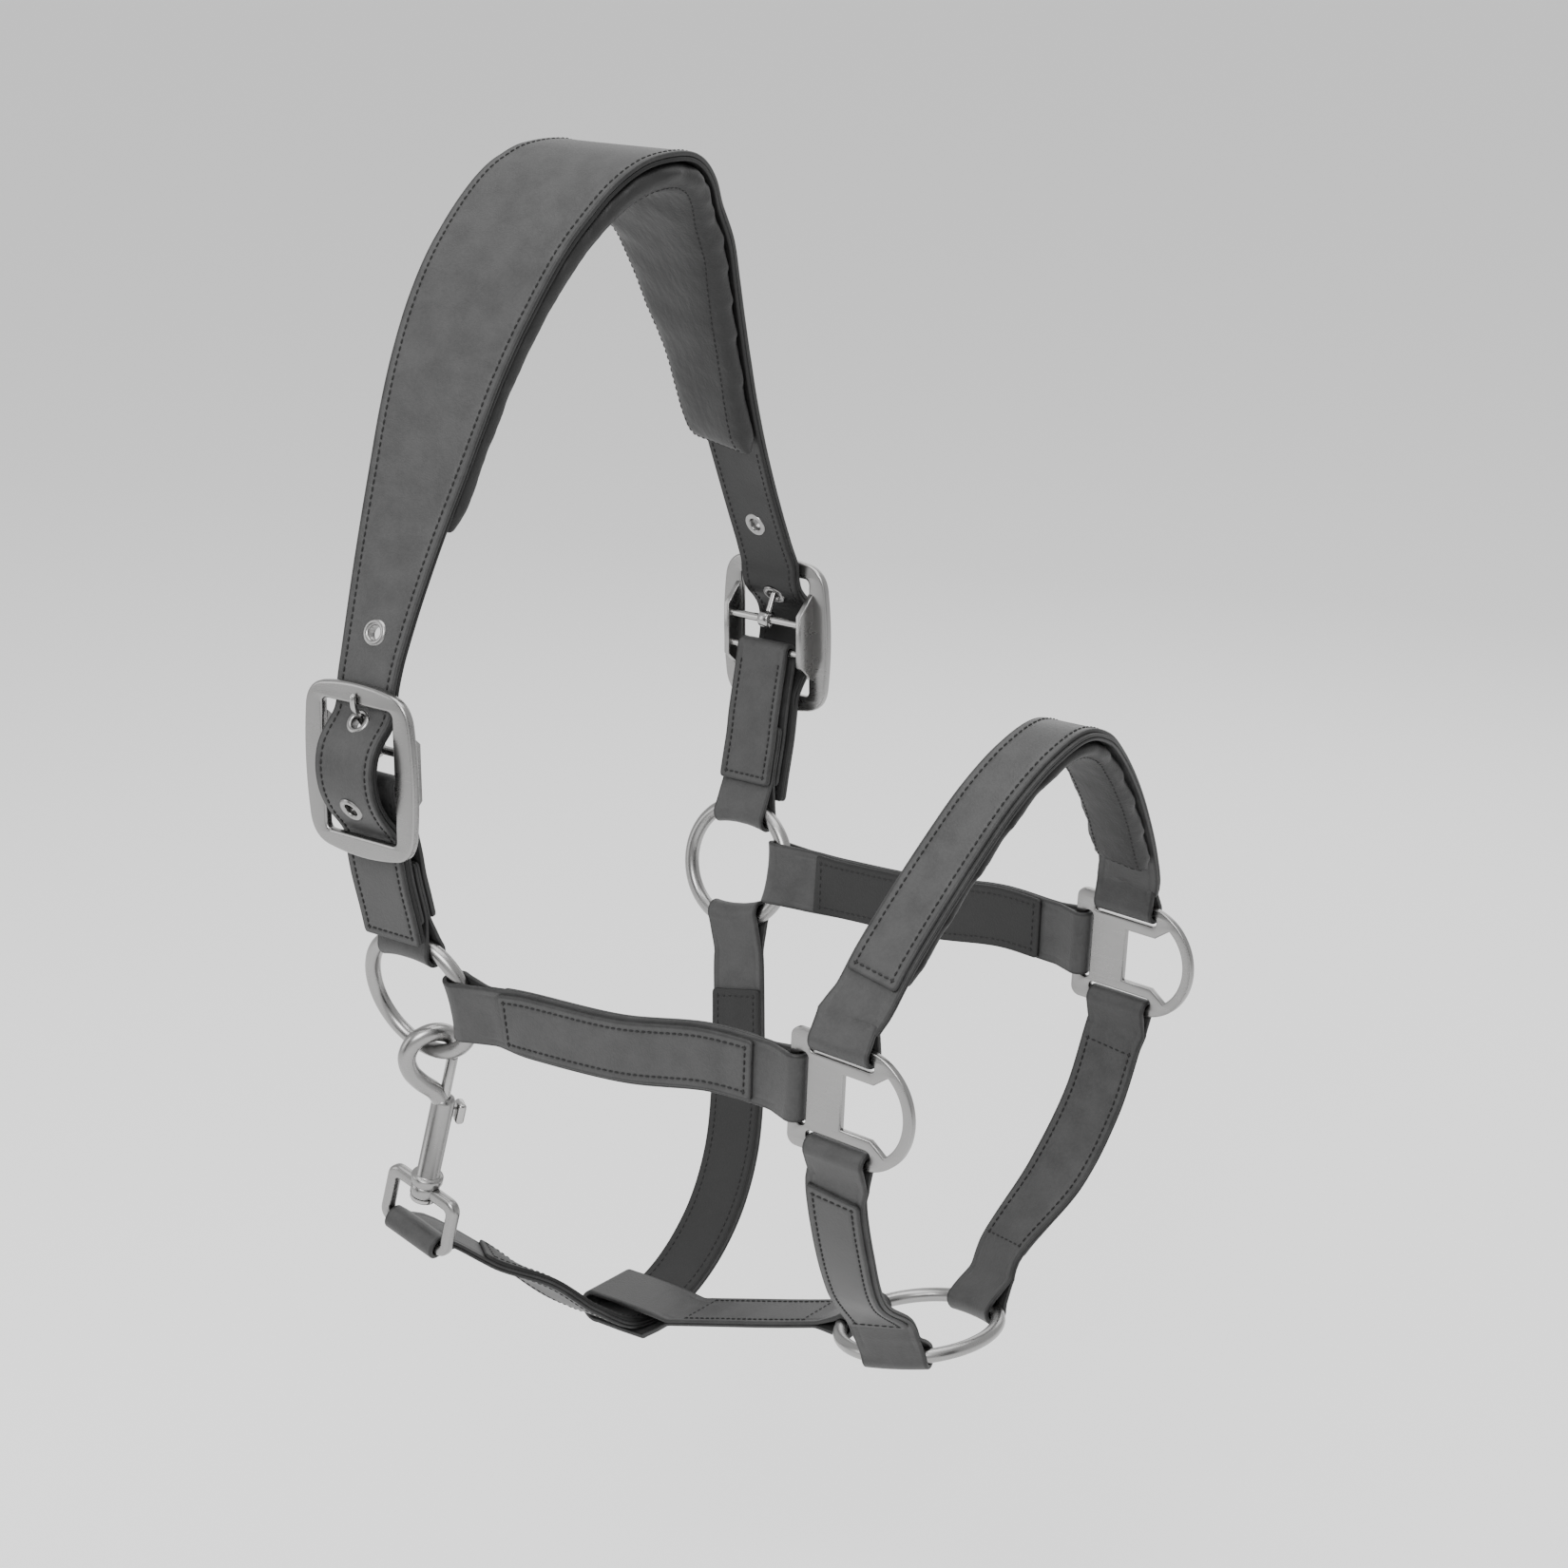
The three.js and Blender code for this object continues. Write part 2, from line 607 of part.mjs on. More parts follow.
// ---------------------------------------------------------------- cheek straps and ring tabs
function makeCheek(side) {
  const name = side < 0 ? "right" : "left";
  const out = point(0, side, 0);
  const last = BILLET_WEAVE.length - 1;
  const top = BILLET_WEAVE[last];
  const tailPoints = [[FRAME_Y + top[0], BUCKLE_Z + top[1]], ...TAIL];
  const tailRun = new Run(tailPoints.map(([y, z]) => point(HEAD_X, side * y, z)), X, out, 12);
  const tabThick = 2 * LEATHER;
  const outerLeg = BACKING_LOW - 3 * GAP - LEATHER / 2;
  const tabMiddle = outerLeg - LEATHER / 2 - GAP - tabThick / 2;
  const innerLeg = tabMiddle - tabThick / 2 - GAP - LEATHER / 2;
  const bar = point(HEAD_X, side * (FRAME_Y - BAR_DEPTH), BUCKLE_Z - STRAP_BAR_DROP);
  const wrap = BAR_RADIUS + GAP + LEATHER / 2;
  const round = (degrees) => {
    const a = THREE.MathUtils.degToRad(degrees);
    return bar.clone().addScaledVector(out, wrap * Math.cos(a)).addScaledVector(Z, wrap * Math.sin(a));
  };
  const legEnd = 10;
  const inner = [legEnd, 7, 4, 1].map((i) => tailRun.place(i, 0, innerLeg));
  const outer = [1, 4, 7, legEnd].map((i) => tailRun.place(i, 0, outerLeg));
  const hairpin = new Run(
    [...inner, round(195), round(150), round(105), round(60), round(15), ...outer],
    X,
    out.clone().negate(),
    44,
  );
  add(name + "_cheek_strap", layer(hairpin, STRAP_WIDTH, -LEATHER / 2, LEATHER / 2), leather);

  const ringTop = ringPoint(side, 90);
  const tabRun = new Run(
    [...[2, 5, 8].map((i) => tailRun.place(i, 0, tabMiddle)), ringTop],
    X,
    out,
    14,
  );
  const reach = ringUp(side).multiplyScalar(-wireBend(SIDE_RING_RADIUS, SIDE_RING_WIRE));
  const fold = eye(tabRun, tabRun.steps, STRAP_WIDTH, SIDE_RING_WIRE, reach, RING_GAP);
  add(
    name + "_ring_tab",
    foldedStrap(layer(tabRun, STRAP_WIDTH, -tabThick / 2, tabThick / 2), fold),
    leather,
  );
}

// ---------------------------------------------------------------- rings
function ringUp(side) {
  return point(0, side * Math.sin(SIDE_RING_TILT), Math.cos(SIDE_RING_TILT));
}

// A point on the middle of a side ring's wire, with the angle counted from the front.
function ringPoint(side, degrees) {
  const a = THREE.MathUtils.degToRad(degrees);
  return mirrored(SIDE_RING_CENTRE, side)
    .addScaledVector(X, SIDE_RING_RADIUS * Math.cos(a))
    .addScaledVector(ringUp(side), SIDE_RING_RADIUS * Math.sin(a));
}

const CHIN_RING_AHEAD = point(Math.cos(CHIN_RING_TILT), 0, Math.sin(CHIN_RING_TILT));

// A point on the middle of the chin ring's wire, by its distances ahead of and beside the ring's middle.
function chinRingPoint(ahead, beside) {
  return CHIN_RING_CENTRE.clone().addScaledVector(CHIN_RING_AHEAD, ahead).addScaledVector(Y, beside);
}

function ring(radius, wire, centre, up, ahead = X) {
  const across = new THREE.Vector3().crossVectors(ahead, up);
  const place = new THREE.Matrix4().makeBasis(ahead, up, across).setPosition(centre);
  return new THREE.TorusGeometry(radius, wire, 7, 36).applyMatrix4(place);
}

function makeRings() {
  for (const side of [-1, 1]) {
    const name = (side < 0 ? "right" : "left") + "_side_ring";
    add(name, ring(SIDE_RING_RADIUS, SIDE_RING_WIRE, mirrored(SIDE_RING_CENTRE, side), ringUp(side)), steel);
  }
  add("chin_ring", ring(CHIN_RING_RADIUS, CHIN_RING_WIRE, CHIN_RING_CENTRE, Y, CHIN_RING_AHEAD), steel);
}

// ---------------------------------------------------------------- nose fittings
const FITTING_AHEAD = point(Math.cos(FITTING_LEAN), 0, -Math.sin(FITTING_LEAN));
const FITTING_UP = point(Math.sin(FITTING_LEAN), 0, Math.cos(FITTING_LEAN));
const FITTING_BAR_UP = FITTING_HALF_HEIGHT - FITTING_BAR / 2;
const FITTING_BAR_EYE = Math.hypot(FITTING_BAR, FITTING_THICK) / 2;

function fittingPoint(side, ahead, up) {
  const at = FITTING_CENTRE.clone().addScaledVector(FITTING_AHEAD, ahead).addScaledVector(FITTING_UP, up);
  return mirrored(at, side);
}

function fittingOutline() {
  const shape = new THREE.Shape();
  const corner = 4.5;
  const rear = -FITTING_REAR;
  const top = FITTING_HALF_HEIGHT;
  const bowStart = FITTING_BOW - top * 0.94;
  shape.moveTo(rear + corner, -top);
  shape.lineTo(bowStart, -top);
  shape.absellipse(bowStart, 0, FITTING_BOW - bowStart, top, -Math.PI / 2, Math.PI / 2);
  shape.lineTo(rear + corner, top);
  shape.absarc(rear + corner, top - corner, corner, Math.PI / 2, Math.PI);
  shape.lineTo(rear, -top + corner);
  shape.absarc(rear + corner, -top + corner, corner, Math.PI, 1.5 * Math.PI);
  return { shape, bowStart };
}

function slotHole(x, y, width, height) {
  const hole = roundedBox(width, height, Math.min(width, height) / 2 - 0.1);
  return new THREE.Path(hole.getPoints(4).map((p) => p.add(new THREE.Vector2(x, y))));
}

function makeFitting(side) {
  const { shape, bowStart } = fittingOutline();
  const slotLength = STRAP_WIDTH + 2;
  const slotUp = FITTING_HALF_HEIGHT - FITTING_BAR - FITTING_SLOT / 2;
  shape.holes.push(slotHole(FITTING_SLOT_X, slotUp, slotLength, FITTING_SLOT));
  shape.holes.push(slotHole(FITTING_SLOT_X, -slotUp, slotLength, FITTING_SLOT));
  shape.holes.push(slotHole(FITTING_BAR + FITTING_SLOT / 2 - FITTING_REAR, 0, FITTING_SLOT, slotLength));
  const armTop = slotUp - FITTING_SLOT / 2;
  const armEnd = FITTING_SLOT_X + slotLength / 2;
  const bow = new THREE.EllipseCurve(
    bowStart,
    0,
    FITTING_BOW - bowStart - FITTING_BOW_BAND,
    FITTING_HALF_HEIGHT - FITTING_BOW_BAND,
    -0.95,
    0.95,
  ).getPoints(10);
  const inner = armTop - FITTING_ARM;
  const window = [
    new THREE.Vector2(FITTING_PLATE_FRONT, inner),
    new THREE.Vector2(FITTING_PLATE_FRONT, -inner),
    new THREE.Vector2(armEnd, -inner),
    ...bow,
    new THREE.Vector2(armEnd, inner),
  ];
  shape.holes.push(new THREE.Path(window));
  const geometry = plate(shape, FITTING_THICK, fittingPoint(side, 0, 0), FITTING_AHEAD, FITTING_UP);
  add((side < 0 ? "right" : "left") + "_nose_fitting", geometry, steel);
}

// ---------------------------------------------------------------- side straps
function makeSideStrap(side) {
  const name = (side < 0 ? "right" : "left") + "_side_strap";
  const rear = ringPoint(side, 0);
  const front = fittingPoint(side, FITTING_BAR / 2 - FITTING_REAR, 0);
  const middle = [[45, 108, -328.3], [95, 107, -326]];
  const lead = [
    rear.clone().addScaledVector(X, 14),
    ...middle.map(([x, y, z]) => point(x, side * y, z)),
    fittingPoint(side, -FITTING_REAR - 40, 0).add(point(0, side * 2, -1)),
    fittingPoint(side, -FITTING_REAR - 14, 0),
  ];
  const points = [rear, ...lead, front];
  const upright = [ringUp(side), ringUp(side), Z, Z, FITTING_UP, FITTING_UP, FITTING_UP];
  const run = new Run(points, upright, point(0, side, 0), 18);
  const reach = X.clone().multiplyScalar(-wireBend(SIDE_RING_RADIUS, SIDE_RING_WIRE));
  const rearEye = eye(run, 0, STRAP_WIDTH, SIDE_RING_WIRE, reach, RING_GAP);
  const frontEye = eye(run, run.steps, STRAP_WIDTH, FITTING_BAR_EYE);
  const body = layer(run, STRAP_WIDTH, -BASE / 2, BASE / 2);
  add(name, foldedStrap(body, rearEye, frontEye), leather);
  const high = BASE / 2 + GAP;
  add(name + "_panel", layer(run, STRAP_WIDTH, high, high + PANEL, 2, run.steps - 2), leather);
  add(name + "_lining", layer(run, STRAP_WIDTH, -high - PANEL, -high, 2, run.steps - 2), lining);
}

// ---------------------------------------------------------------- noseband
const NOSE_ARCH = [
  [208.5, 95.5, -281],
  [212, 86.5, -266],
  [216.5, 73, -248],
  [221.5, 56, -228],
  [226, 37, -209.5],
  [230, 19, -197],
];

function makeNoseband() {
  const half = (side) => [
    fittingPoint(side, FITTING_SLOT_X, FITTING_BAR_UP),
    fittingPoint(side, FITTING_SLOT_X, FITTING_BAR_UP + 9).addScaledVector(Y, -side * 1.8),
    ...NOSE_ARCH.map(([x, y, z]) => point(x, side * y, z)),
  ];
  const across = [FITTING_AHEAD, FITTING_AHEAD, ...NOSE_ARCH.map(() => X)];
  const crown = point(232, 0, -NOSE_DROP);
  const run = new Run(
    [...half(-1), crown, ...half(1).reverse()],
    [...across, X, ...across.toReversed()],
    point(0, -1, 0),
    44,
  );
  const body = layer(run, STRAP_WIDTH, -BASE / 2, BASE / 2);
  const eyes = [0, run.steps].map((end) => eye(run, end, STRAP_WIDTH, FITTING_BAR_EYE));
  add("noseband_strap", foldedStrap(body, ...eyes), leather);
  const high = BASE / 2 + GAP;
  add("noseband_panel", layer(run, STRAP_WIDTH, high, high + PANEL, 4, run.steps - 4), leather);
  makePad("noseband_pad", run, 4, run.steps - 4, 2, {
    width: () => STRAP_WIDTH + 2 * NOSE_PAD_OVERHANG,
    high: -high,
    low: () => -high - NOSE_PAD_DEPTH,
  });
}

// ---------------------------------------------------------------- chin straps
function makeChinStrap(side) {
  const name = (side < 0 ? "right" : "left") + "_chin_strap";
  const top = fittingPoint(side, FITTING_SLOT_X, -FITTING_BAR_UP);
  const beside = Math.sqrt(CHIN_RING_RADIUS ** 2 - CHIN_LOOP_FORWARD ** 2);
  const bottom = chinRingPoint(CHIN_LOOP_FORWARD, side * beside);
  const wireAlong = chinRingPoint(beside, -side * CHIN_LOOP_FORWARD).sub(CHIN_RING_CENTRE).normalize();
  const inward = CHIN_RING_CENTRE.clone().sub(bottom).normalize();
  const ringUpright = point(-Math.sin(CHIN_RING_TILT), 0, Math.cos(CHIN_RING_TILT));
  const rise = ringUpright.multiplyScalar(0.87).addScaledVector(inward, -0.5);
  const middle = [[199.5, 100.5, -362], [196, 91, -390], [189.5, 73.5, -420]];
  const points = [
    top,
    fittingPoint(side, FITTING_SLOT_X, -FITTING_BAR_UP - 9).addScaledVector(Y, -side * 0.6),
    ...middle.map(([x, y, z]) => point(x, side * y, z)),
    bottom.clone().addScaledVector(rise, 24),
    bottom.clone().addScaledVector(rise, 11),
    bottom,
  ];
  const across = [FITTING_AHEAD, FITTING_AHEAD, X, X, X, wireAlong, wireAlong, wireAlong];
  const run = new Run(points, across, point(0, side, 0), 18);
  const reach = inward.clone().multiplyScalar(wireBend(CHIN_RING_RADIUS, CHIN_RING_WIRE));
  const topEye = eye(run, 0, STRAP_WIDTH, FITTING_BAR_EYE);
  const ringEye = eye(run, run.steps, STRAP_WIDTH, CHIN_RING_WIRE, reach, RING_GAP);
  const body = layer(run, STRAP_WIDTH, -BASE / 2, BASE / 2);
  add(name, foldedStrap(body, topEye, ringEye), leather);
  const high = BASE / 2 + GAP;
  add(name + "_panel", layer(run, STRAP_WIDTH, high, high + PANEL, 2, run.steps - 3), leather);
}

// ---------------------------------------------------------------- throat strap and link
const LINK_LOOP_LENGTH = 26;
const LINK_LOOP_RADIUS = 5.8;
const THROAT_LOW = point(7.5, 0, -514);
const THROAT_ANGLE = -80; // place of the throat strap on the left side ring, from its front

function makeThroatStrap() {
  const start = ringPoint(1, THROAT_ANGLE);
  const outwards = start.clone().sub(mirrored(SIDE_RING_CENTRE, 1)).normalize();
  const ringAlong = new THREE.Vector3().crossVectors(outwards, point(0, 1, 0)).normalize();
  ringAlong.addScaledVector(outwards, -ringAlong.dot(outwards)).multiplyScalar(Math.sign(ringAlong.x));
  const descent = [
    [-8.5, 97.5, -377],
    [-4, 92, -400],
    [3, 82.5, -429],
    [9.5, 69, -458],
    [12.5, 52, -482],
    [11, 33, -502],
    [9, 15, -512.2],
  ];
  const rise = [[5.5, -15, -512], [-1.5, -30, -502.5], [-12, -47, -486.5], [-24, -64, -472]];
  const w = snapUp();
  const bar = snapAcross(w);
  const arrive = new THREE.Vector3().crossVectors(bar, w).normalize();
  arrive.multiplyScalar(-Math.sign(arrive.y)).addScaledVector(w, 0.35).normalize();
  const before = SNAP_EYE_CENTRE.clone().addScaledVector(arrive, -15);
  const points = [
    start,
    start.clone().addScaledVector(outwards, 12),
    ...descent.map((p) => point(...p)),
    THROAT_LOW,
    ...rise.map((p) => point(...p)),
    before,
    SNAP_EYE_CENTRE,
  ];
  const across = points.map((_, i) => (i < points.length - 3 ? X : bar));
  across[0] = ringAlong;
  across[1] = ringAlong;
  const run = new Run(points, across, point(0, 1, 0), 52);
  const reach = outwards.clone().multiplyScalar(-wireBend(SIDE_RING_RADIUS, SIDE_RING_WIRE));
  const ringEye = eye(run, 0, STRAP_WIDTH, SIDE_RING_WIRE, reach, RING_GAP);
  const snapEye = eye(run, run.steps, STRAP_WIDTH, SNAP_EYE_BAR + 0.45);
  const body = layer(run, STRAP_WIDTH, -BASE / 2, BASE / 2);
  add("throat_strap", foldedStrap(body, ringEye, snapEye), leather);
  const high = BASE / 2 + GAP;
  add("throat_strap_lining", layer(run, STRAP_WIDTH, -high - PANEL, -high, 5, run.steps - 6), lining);
}

function makeLinkStrap() {
  const front = chinRingPoint(-CHIN_RING_RADIUS, 0);
  const stackMiddle = (PANEL + GAP) / 2; // the lining lies on the upper side
  const loopFront = THROAT_LOW.clone().add(point(LINK_LOOP_LENGTH / 2, 0, stackMiddle + 2.2));
  const run = new Run([front, point(100, 0, -487), point(60, 0, -499), loopFront], Y, point(0, 0, -1), 20);
  const reach = X.clone().multiplyScalar(wireBend(CHIN_RING_RADIUS, CHIN_RING_WIRE));
  const ringEye = eye(run, 0, STRAP_WIDTH, CHIN_RING_WIRE, reach, RING_GAP);
  const loopReach = X.clone().multiplyScalar(-LINK_LOOP_LENGTH);
  const loop = eye(run, run.steps, STRAP_WIDTH, LINK_LOOP_RADIUS - GAP, loopReach);
  const body = layer(run, STRAP_WIDTH, -BASE / 2, BASE / 2);
  add("chin_link_strap", foldedStrap(body, ringEye, loop), leather);
}

// ---------------------------------------------------------------- bolt snap
const SNAP_BEHIND = point(-0.5, -0.866, 0); // from the barrel's axis to the back of the hook

function snapUp() {
  const gate = ringPoint(-1, -90).addScaledVector(SNAP_BEHIND, -SNAP_WIRE_OFFSET);
  return gate.sub(SNAP_EYE_CENTRE).normalize();
}

// The direction of the bar that the throat strap folds round.
function snapAcross(up) {
  return SNAP_EYE_AXIS.clone().addScaledVector(up, -SNAP_EYE_AXIS.dot(up)).normalize();
}

// The snap's own axes: ahead towards the gate, up along the barrel, with zero at the ring's wire.
function snapFrame() {
  const up = snapUp();
  const ahead = SNAP_BEHIND.clone().negate();
  ahead.addScaledVector(up, -ahead.dot(up)).normalize();
  const reach = ringPoint(-1, -90).sub(SNAP_EYE_CENTRE).dot(up);
  const origin = SNAP_EYE_CENTRE.clone().addScaledVector(up, reach);
  const at = (a, w) => origin.clone().addScaledVector(ahead, a).addScaledVector(up, w);
  return { up, ahead, at, reach };
}

const SHOULDER = -25; // top of the barrel below the ring's wire
const BARREL_END = -66;
const COLLAR_END = -70.5;
const KNOB_MIDDLE = -33;

function makeSnap() {
  const { up, ahead, at, reach } = snapFrame();
  const curve = new THREE.CatmullRomCurve3(
    [
      at(0, -34),
      at(-0.6, -28.5),
      at(-4.6, -22.3),
      at(-12, -17),
      at(-18, -11),
      at(-20.9, -3.5),
      at(-19, 4),
      at(-12.5, 8.6),
      at(-5, 8.2),
      at(0.6, 3.2),
    ],
    false,
    "centripetal",
  );
  const section = new THREE.Shape();
  section.absarc(0, 0, SNAP_HOOK_WIRE, 0, 2 * Math.PI);
  const hook = new THREE.ExtrudeGeometry(section, { steps: 18, extrudePath: curve, curveSegments: 8 });
  const barrel = rod(SNAP_BARREL_RADIUS, at(0, BARREL_END - 0.5), at(0, SHOULDER));
  const collar = rod(SNAP_BARREL_RADIUS + 2, at(0, COLLAR_END), at(0, BARREL_END));
  const bore = rod(SNAP_ROD_RADIUS + GAP, at(0, BARREL_END + 3), at(0, SHOULDER + 8));
  const pinHole = rod(SNAP_PIN_RADIUS + GAP, at(0, COLLAR_END - 1), at(0, COLLAR_END + 5));
  const slotShape = rectangle(SNAP_BARREL_RADIUS + 2, 3.6 + SNAP_TRAVEL + 2 * GAP);
  const slotMiddle = at((SNAP_BARREL_RADIUS + 2) / 2 + 0.3, KNOB_MIDDLE - SNAP_TRAVEL / 2);
  const slot = plate(slotShape, 2.4 + 2 * GAP, slotMiddle, ahead, up);
  add("snap_hook", cut(join(hook, barrel, collar), bore, pinHole, slot), steel);

  const stem = plate(rectangle(8.5, 3.6), 2.4, at(4.25, KNOB_MIDDLE), ahead, up);
  const knob = plate(roundedBox(4, 10, 1.6), 7, at(SNAP_BARREL_RADIUS + 3.2, KNOB_MIDDLE), ahead, up);
  const boltEnd = KNOB_MIDDLE - 11;
  add("snap_bolt", join(rod(SNAP_ROD_RADIUS, at(0, boltEnd), at(0, -3.5)), stem, knob), steel);
  add("snap_spring", spring(at, up, ahead, boltEnd - 0.8), springSteel);

  const eyeTop = COLLAR_END - GAP;
  const crossbar = 6;
  const wide = SNAP_EYE_INSIDE + 4 * SNAP_EYE_BAR;
  const axis = snapAcross(up);
  const low = -reach - SNAP_EYE_BAR;
  const frame = roundedBox(wide, eyeTop - low, 6);
  const insideHeight = eyeTop - low - crossbar - 2 * SNAP_EYE_BAR;
  const opening = roundedBox(SNAP_EYE_INSIDE, insideHeight, 2);
  const shift = (2 * SNAP_EYE_BAR - crossbar) / 2;
  frame.holes.push(new THREE.Path(opening.getPoints(4).map((p) => p.add(new THREE.Vector2(0, shift)))));
  const body = plate(frame, 2 * SNAP_EYE_BAR, at(0, (eyeTop + low) / 2), axis, up, 1.2);
  const boss = rod(6.4, at(0, eyeTop - crossbar), at(0, eyeTop));
  const shaft = rod(SNAP_PIN_RADIUS + GAP, at(0, eyeTop - crossbar - 2), at(0, eyeTop + 2));
  add("snap_swivel_eye", cut(join(body, boss), shaft), steel);
  const headTop = eyeTop - crossbar - GAP;
  const pin = rod(SNAP_PIN_RADIUS, at(0, headTop - 1), at(0, COLLAR_END + 4.6));
  const head = rod(6, at(0, headTop - 2.6), at(0, headTop));
  add("snap_swivel_rivet", join(pin, head), steel);
}

const TURN_STEPS = 7;

function spring(at, up, ahead, top) {
  const length = 10.5;
  const turns = 4;
  const radius = SNAP_ROD_RADIUS - 0.5;
  const sideways = new THREE.Vector3().crossVectors(up, ahead);
  const points = [];
  for (let i = 0; i <= turns * TURN_STEPS; i++) {
    const a = (i / TURN_STEPS) * 2 * Math.PI;
    const p = at(0, top - 0.5 - (length - 1) * (i / (turns * TURN_STEPS)));
    p.addScaledVector(ahead, radius * Math.cos(a)).addScaledVector(sideways, radius * Math.sin(a));
    points.push(p);
  }
  const wire = new THREE.Shape();
  wire.absarc(0, 0, 0.4, 0, 2 * Math.PI);
  const path = new THREE.CatmullRomCurve3(points);
  return new THREE.ExtrudeGeometry(wire, { steps: turns * TURN_STEPS, extrudePath: path, curveSegments: 4 });
}

// ---------------------------------------------------------------- assembly
makeHeadpiece();
for (const side of [-1, 1]) {
  makeBuckle(side);
  makeCheek(side);
  makeFitting(side);
  makeSideStrap(side);
  makeChinStrap(side);
}
makeRings();
makeNoseband();
makeThroatStrap();
makeLinkStrap();
makeSnap();

export default root;
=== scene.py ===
# %% [markdown]
# # A leather headcollar
# The headcollar is leather straps folded round metal rings, bars and plates, with padded linings at the
# poll and the nose and a bolt snap on the throat strap. The CAD model already fixes every place and size.
# This lesson makes the pieces that show: soft leather with rounded edges, stitches, pads and satin steel.

# %% The frame and its box
import math

import bmesh
import bpy
import numpy as np
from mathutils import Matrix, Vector


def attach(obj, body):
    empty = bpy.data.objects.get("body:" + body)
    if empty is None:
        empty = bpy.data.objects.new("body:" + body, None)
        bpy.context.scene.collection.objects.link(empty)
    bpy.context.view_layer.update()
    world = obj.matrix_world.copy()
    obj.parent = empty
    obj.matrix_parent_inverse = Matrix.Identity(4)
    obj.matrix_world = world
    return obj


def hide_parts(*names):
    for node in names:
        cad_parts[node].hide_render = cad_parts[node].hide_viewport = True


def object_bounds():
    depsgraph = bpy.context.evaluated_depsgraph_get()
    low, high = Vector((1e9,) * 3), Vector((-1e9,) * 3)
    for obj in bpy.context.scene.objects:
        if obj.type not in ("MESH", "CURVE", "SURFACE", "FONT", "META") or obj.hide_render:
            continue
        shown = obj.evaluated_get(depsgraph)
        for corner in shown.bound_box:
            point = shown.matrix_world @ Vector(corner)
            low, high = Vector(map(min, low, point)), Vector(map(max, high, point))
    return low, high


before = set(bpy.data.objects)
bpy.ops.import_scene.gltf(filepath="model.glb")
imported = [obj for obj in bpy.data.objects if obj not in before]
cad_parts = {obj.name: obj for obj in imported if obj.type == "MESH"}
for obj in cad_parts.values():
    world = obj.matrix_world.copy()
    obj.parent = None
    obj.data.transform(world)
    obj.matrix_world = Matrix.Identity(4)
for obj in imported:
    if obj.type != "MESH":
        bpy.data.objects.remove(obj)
cad_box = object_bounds()
print("CAD box", [round(c, 3) for corner in cad_box for c in corner])

# %% [markdown]
# The camera stands to the right of the horse's nose and a little above it, far away with a long lens, so
# that the straps keep their proportions. It comes first, so that every later piece can be looked at.

# %% Camera
SENSOR = 36.0
LENS = 75.185
CAMERA_DISTANCE = 1.387
CAMERA_AZIMUTH = math.radians(38.0)
CAMERA_ELEVATION = math.radians(17.85)
CAMERA_TARGET = Vector((0.095, 0.0, -0.240))

camera_data = bpy.data.cameras.new("camera")
camera_data.sensor_width = SENSOR
camera_data.lens = LENS
camera = bpy.data.objects.new("camera", camera_data)
bpy.context.scene.collection.objects.link(camera)
camera_back = Vector((
    math.sin(CAMERA_AZIMUTH) * math.cos(CAMERA_ELEVATION),
    -math.cos(CAMERA_AZIMUTH) * math.cos(CAMERA_ELEVATION),
    math.sin(CAMERA_ELEVATION),
))
camera.location = CAMERA_TARGET + camera_back * CAMERA_DISTANCE
camera.rotation_mode = "QUATERNION"
camera.rotation_quaternion = (-camera_back).to_track_quat("-Z", "Y")
bpy.context.scene.camera = camera
print("camera at", [round(c, 3) for c in camera.location])

# %% [markdown]
# ## Sizes
# The leather's routes are short lists of points in millimetres, the same as in the CAD source: the
# straps take their width, thickness and turning circles from the values below.

# %% Sizes shared by many pieces, in millimetres
MM = 0.001
GAP = 0.35
STRAP_WIDTH = 29
BILLET_WIDTH = 32
POLL_WIDTH = 74
LEATHER = 2.2
BACKING = 1.8
PANEL = 1.5
BASE = 3
HEAD_X = -17
FRAME_Y = 138
BUCKLE_Z = -221.5
SIDE_RING_RADIUS = 28.2
SIDE_RING_WIRE = 3.4
SIDE_RING_TILT = math.radians(12.5)
CHIN_RING_RADIUS = 34.4
CHIN_RING_WIRE = 3.1
CHIN_RING_TILT = math.radians(8)
CHIN_RING_CENTRE = np.array((169.0, 0.0, -471.0))
CHIN_LOOP_FORWARD = 11
FITTING_LEAN = math.radians(3)
FITTING_THICK = 3
FITTING_BAR = 4.5
FITTING_SLOT = 4.2
FITTING_REAR = 22
FITTING_HALF_HEIGHT = 25.5
FITTING_SLOT_X = 3
RING_GAP = 0.6
SIDES = {"right": -1, "left": 1}
X_AXIS = np.array((1.0, 0.0, 0.0))
Y_AXIS = np.array((0.0, 1.0, 0.0))
Z_AXIS = np.array((0.0, 0.0, 1.0))
print("strap", STRAP_WIDTH, "mm wide and", BASE, "mm thick")

# %% [markdown]
# ## Vectors
# Routes and frames are sums of directions. Three short functions keep them readable: a vector, its unit
# direction, and the same place on the right or the left of the head.

# %% Small helpers for vectors


def vec(*values):
    return np.array(values, float)


def unit(v):
    return v / np.linalg.norm(v)


def mirrored(v, side):
    return vec(v[0], v[1] * side, v[2])


print("a place on each side:", [mirrored(vec(1, 2, 3), side).tolist() for side in SIDES.values()])

# %% [markdown]
# ## A smooth run through a few points
# A strap follows one smooth line. A centripetal Catmull-Rom spline passes through each chosen point and
# never loops back between two that are close together, which a plain spline can do. Each place on the
# line also has a width direction, turned square to the line, and a normal that points outwards.

# %% The spline and the strap run
FINE = 4000


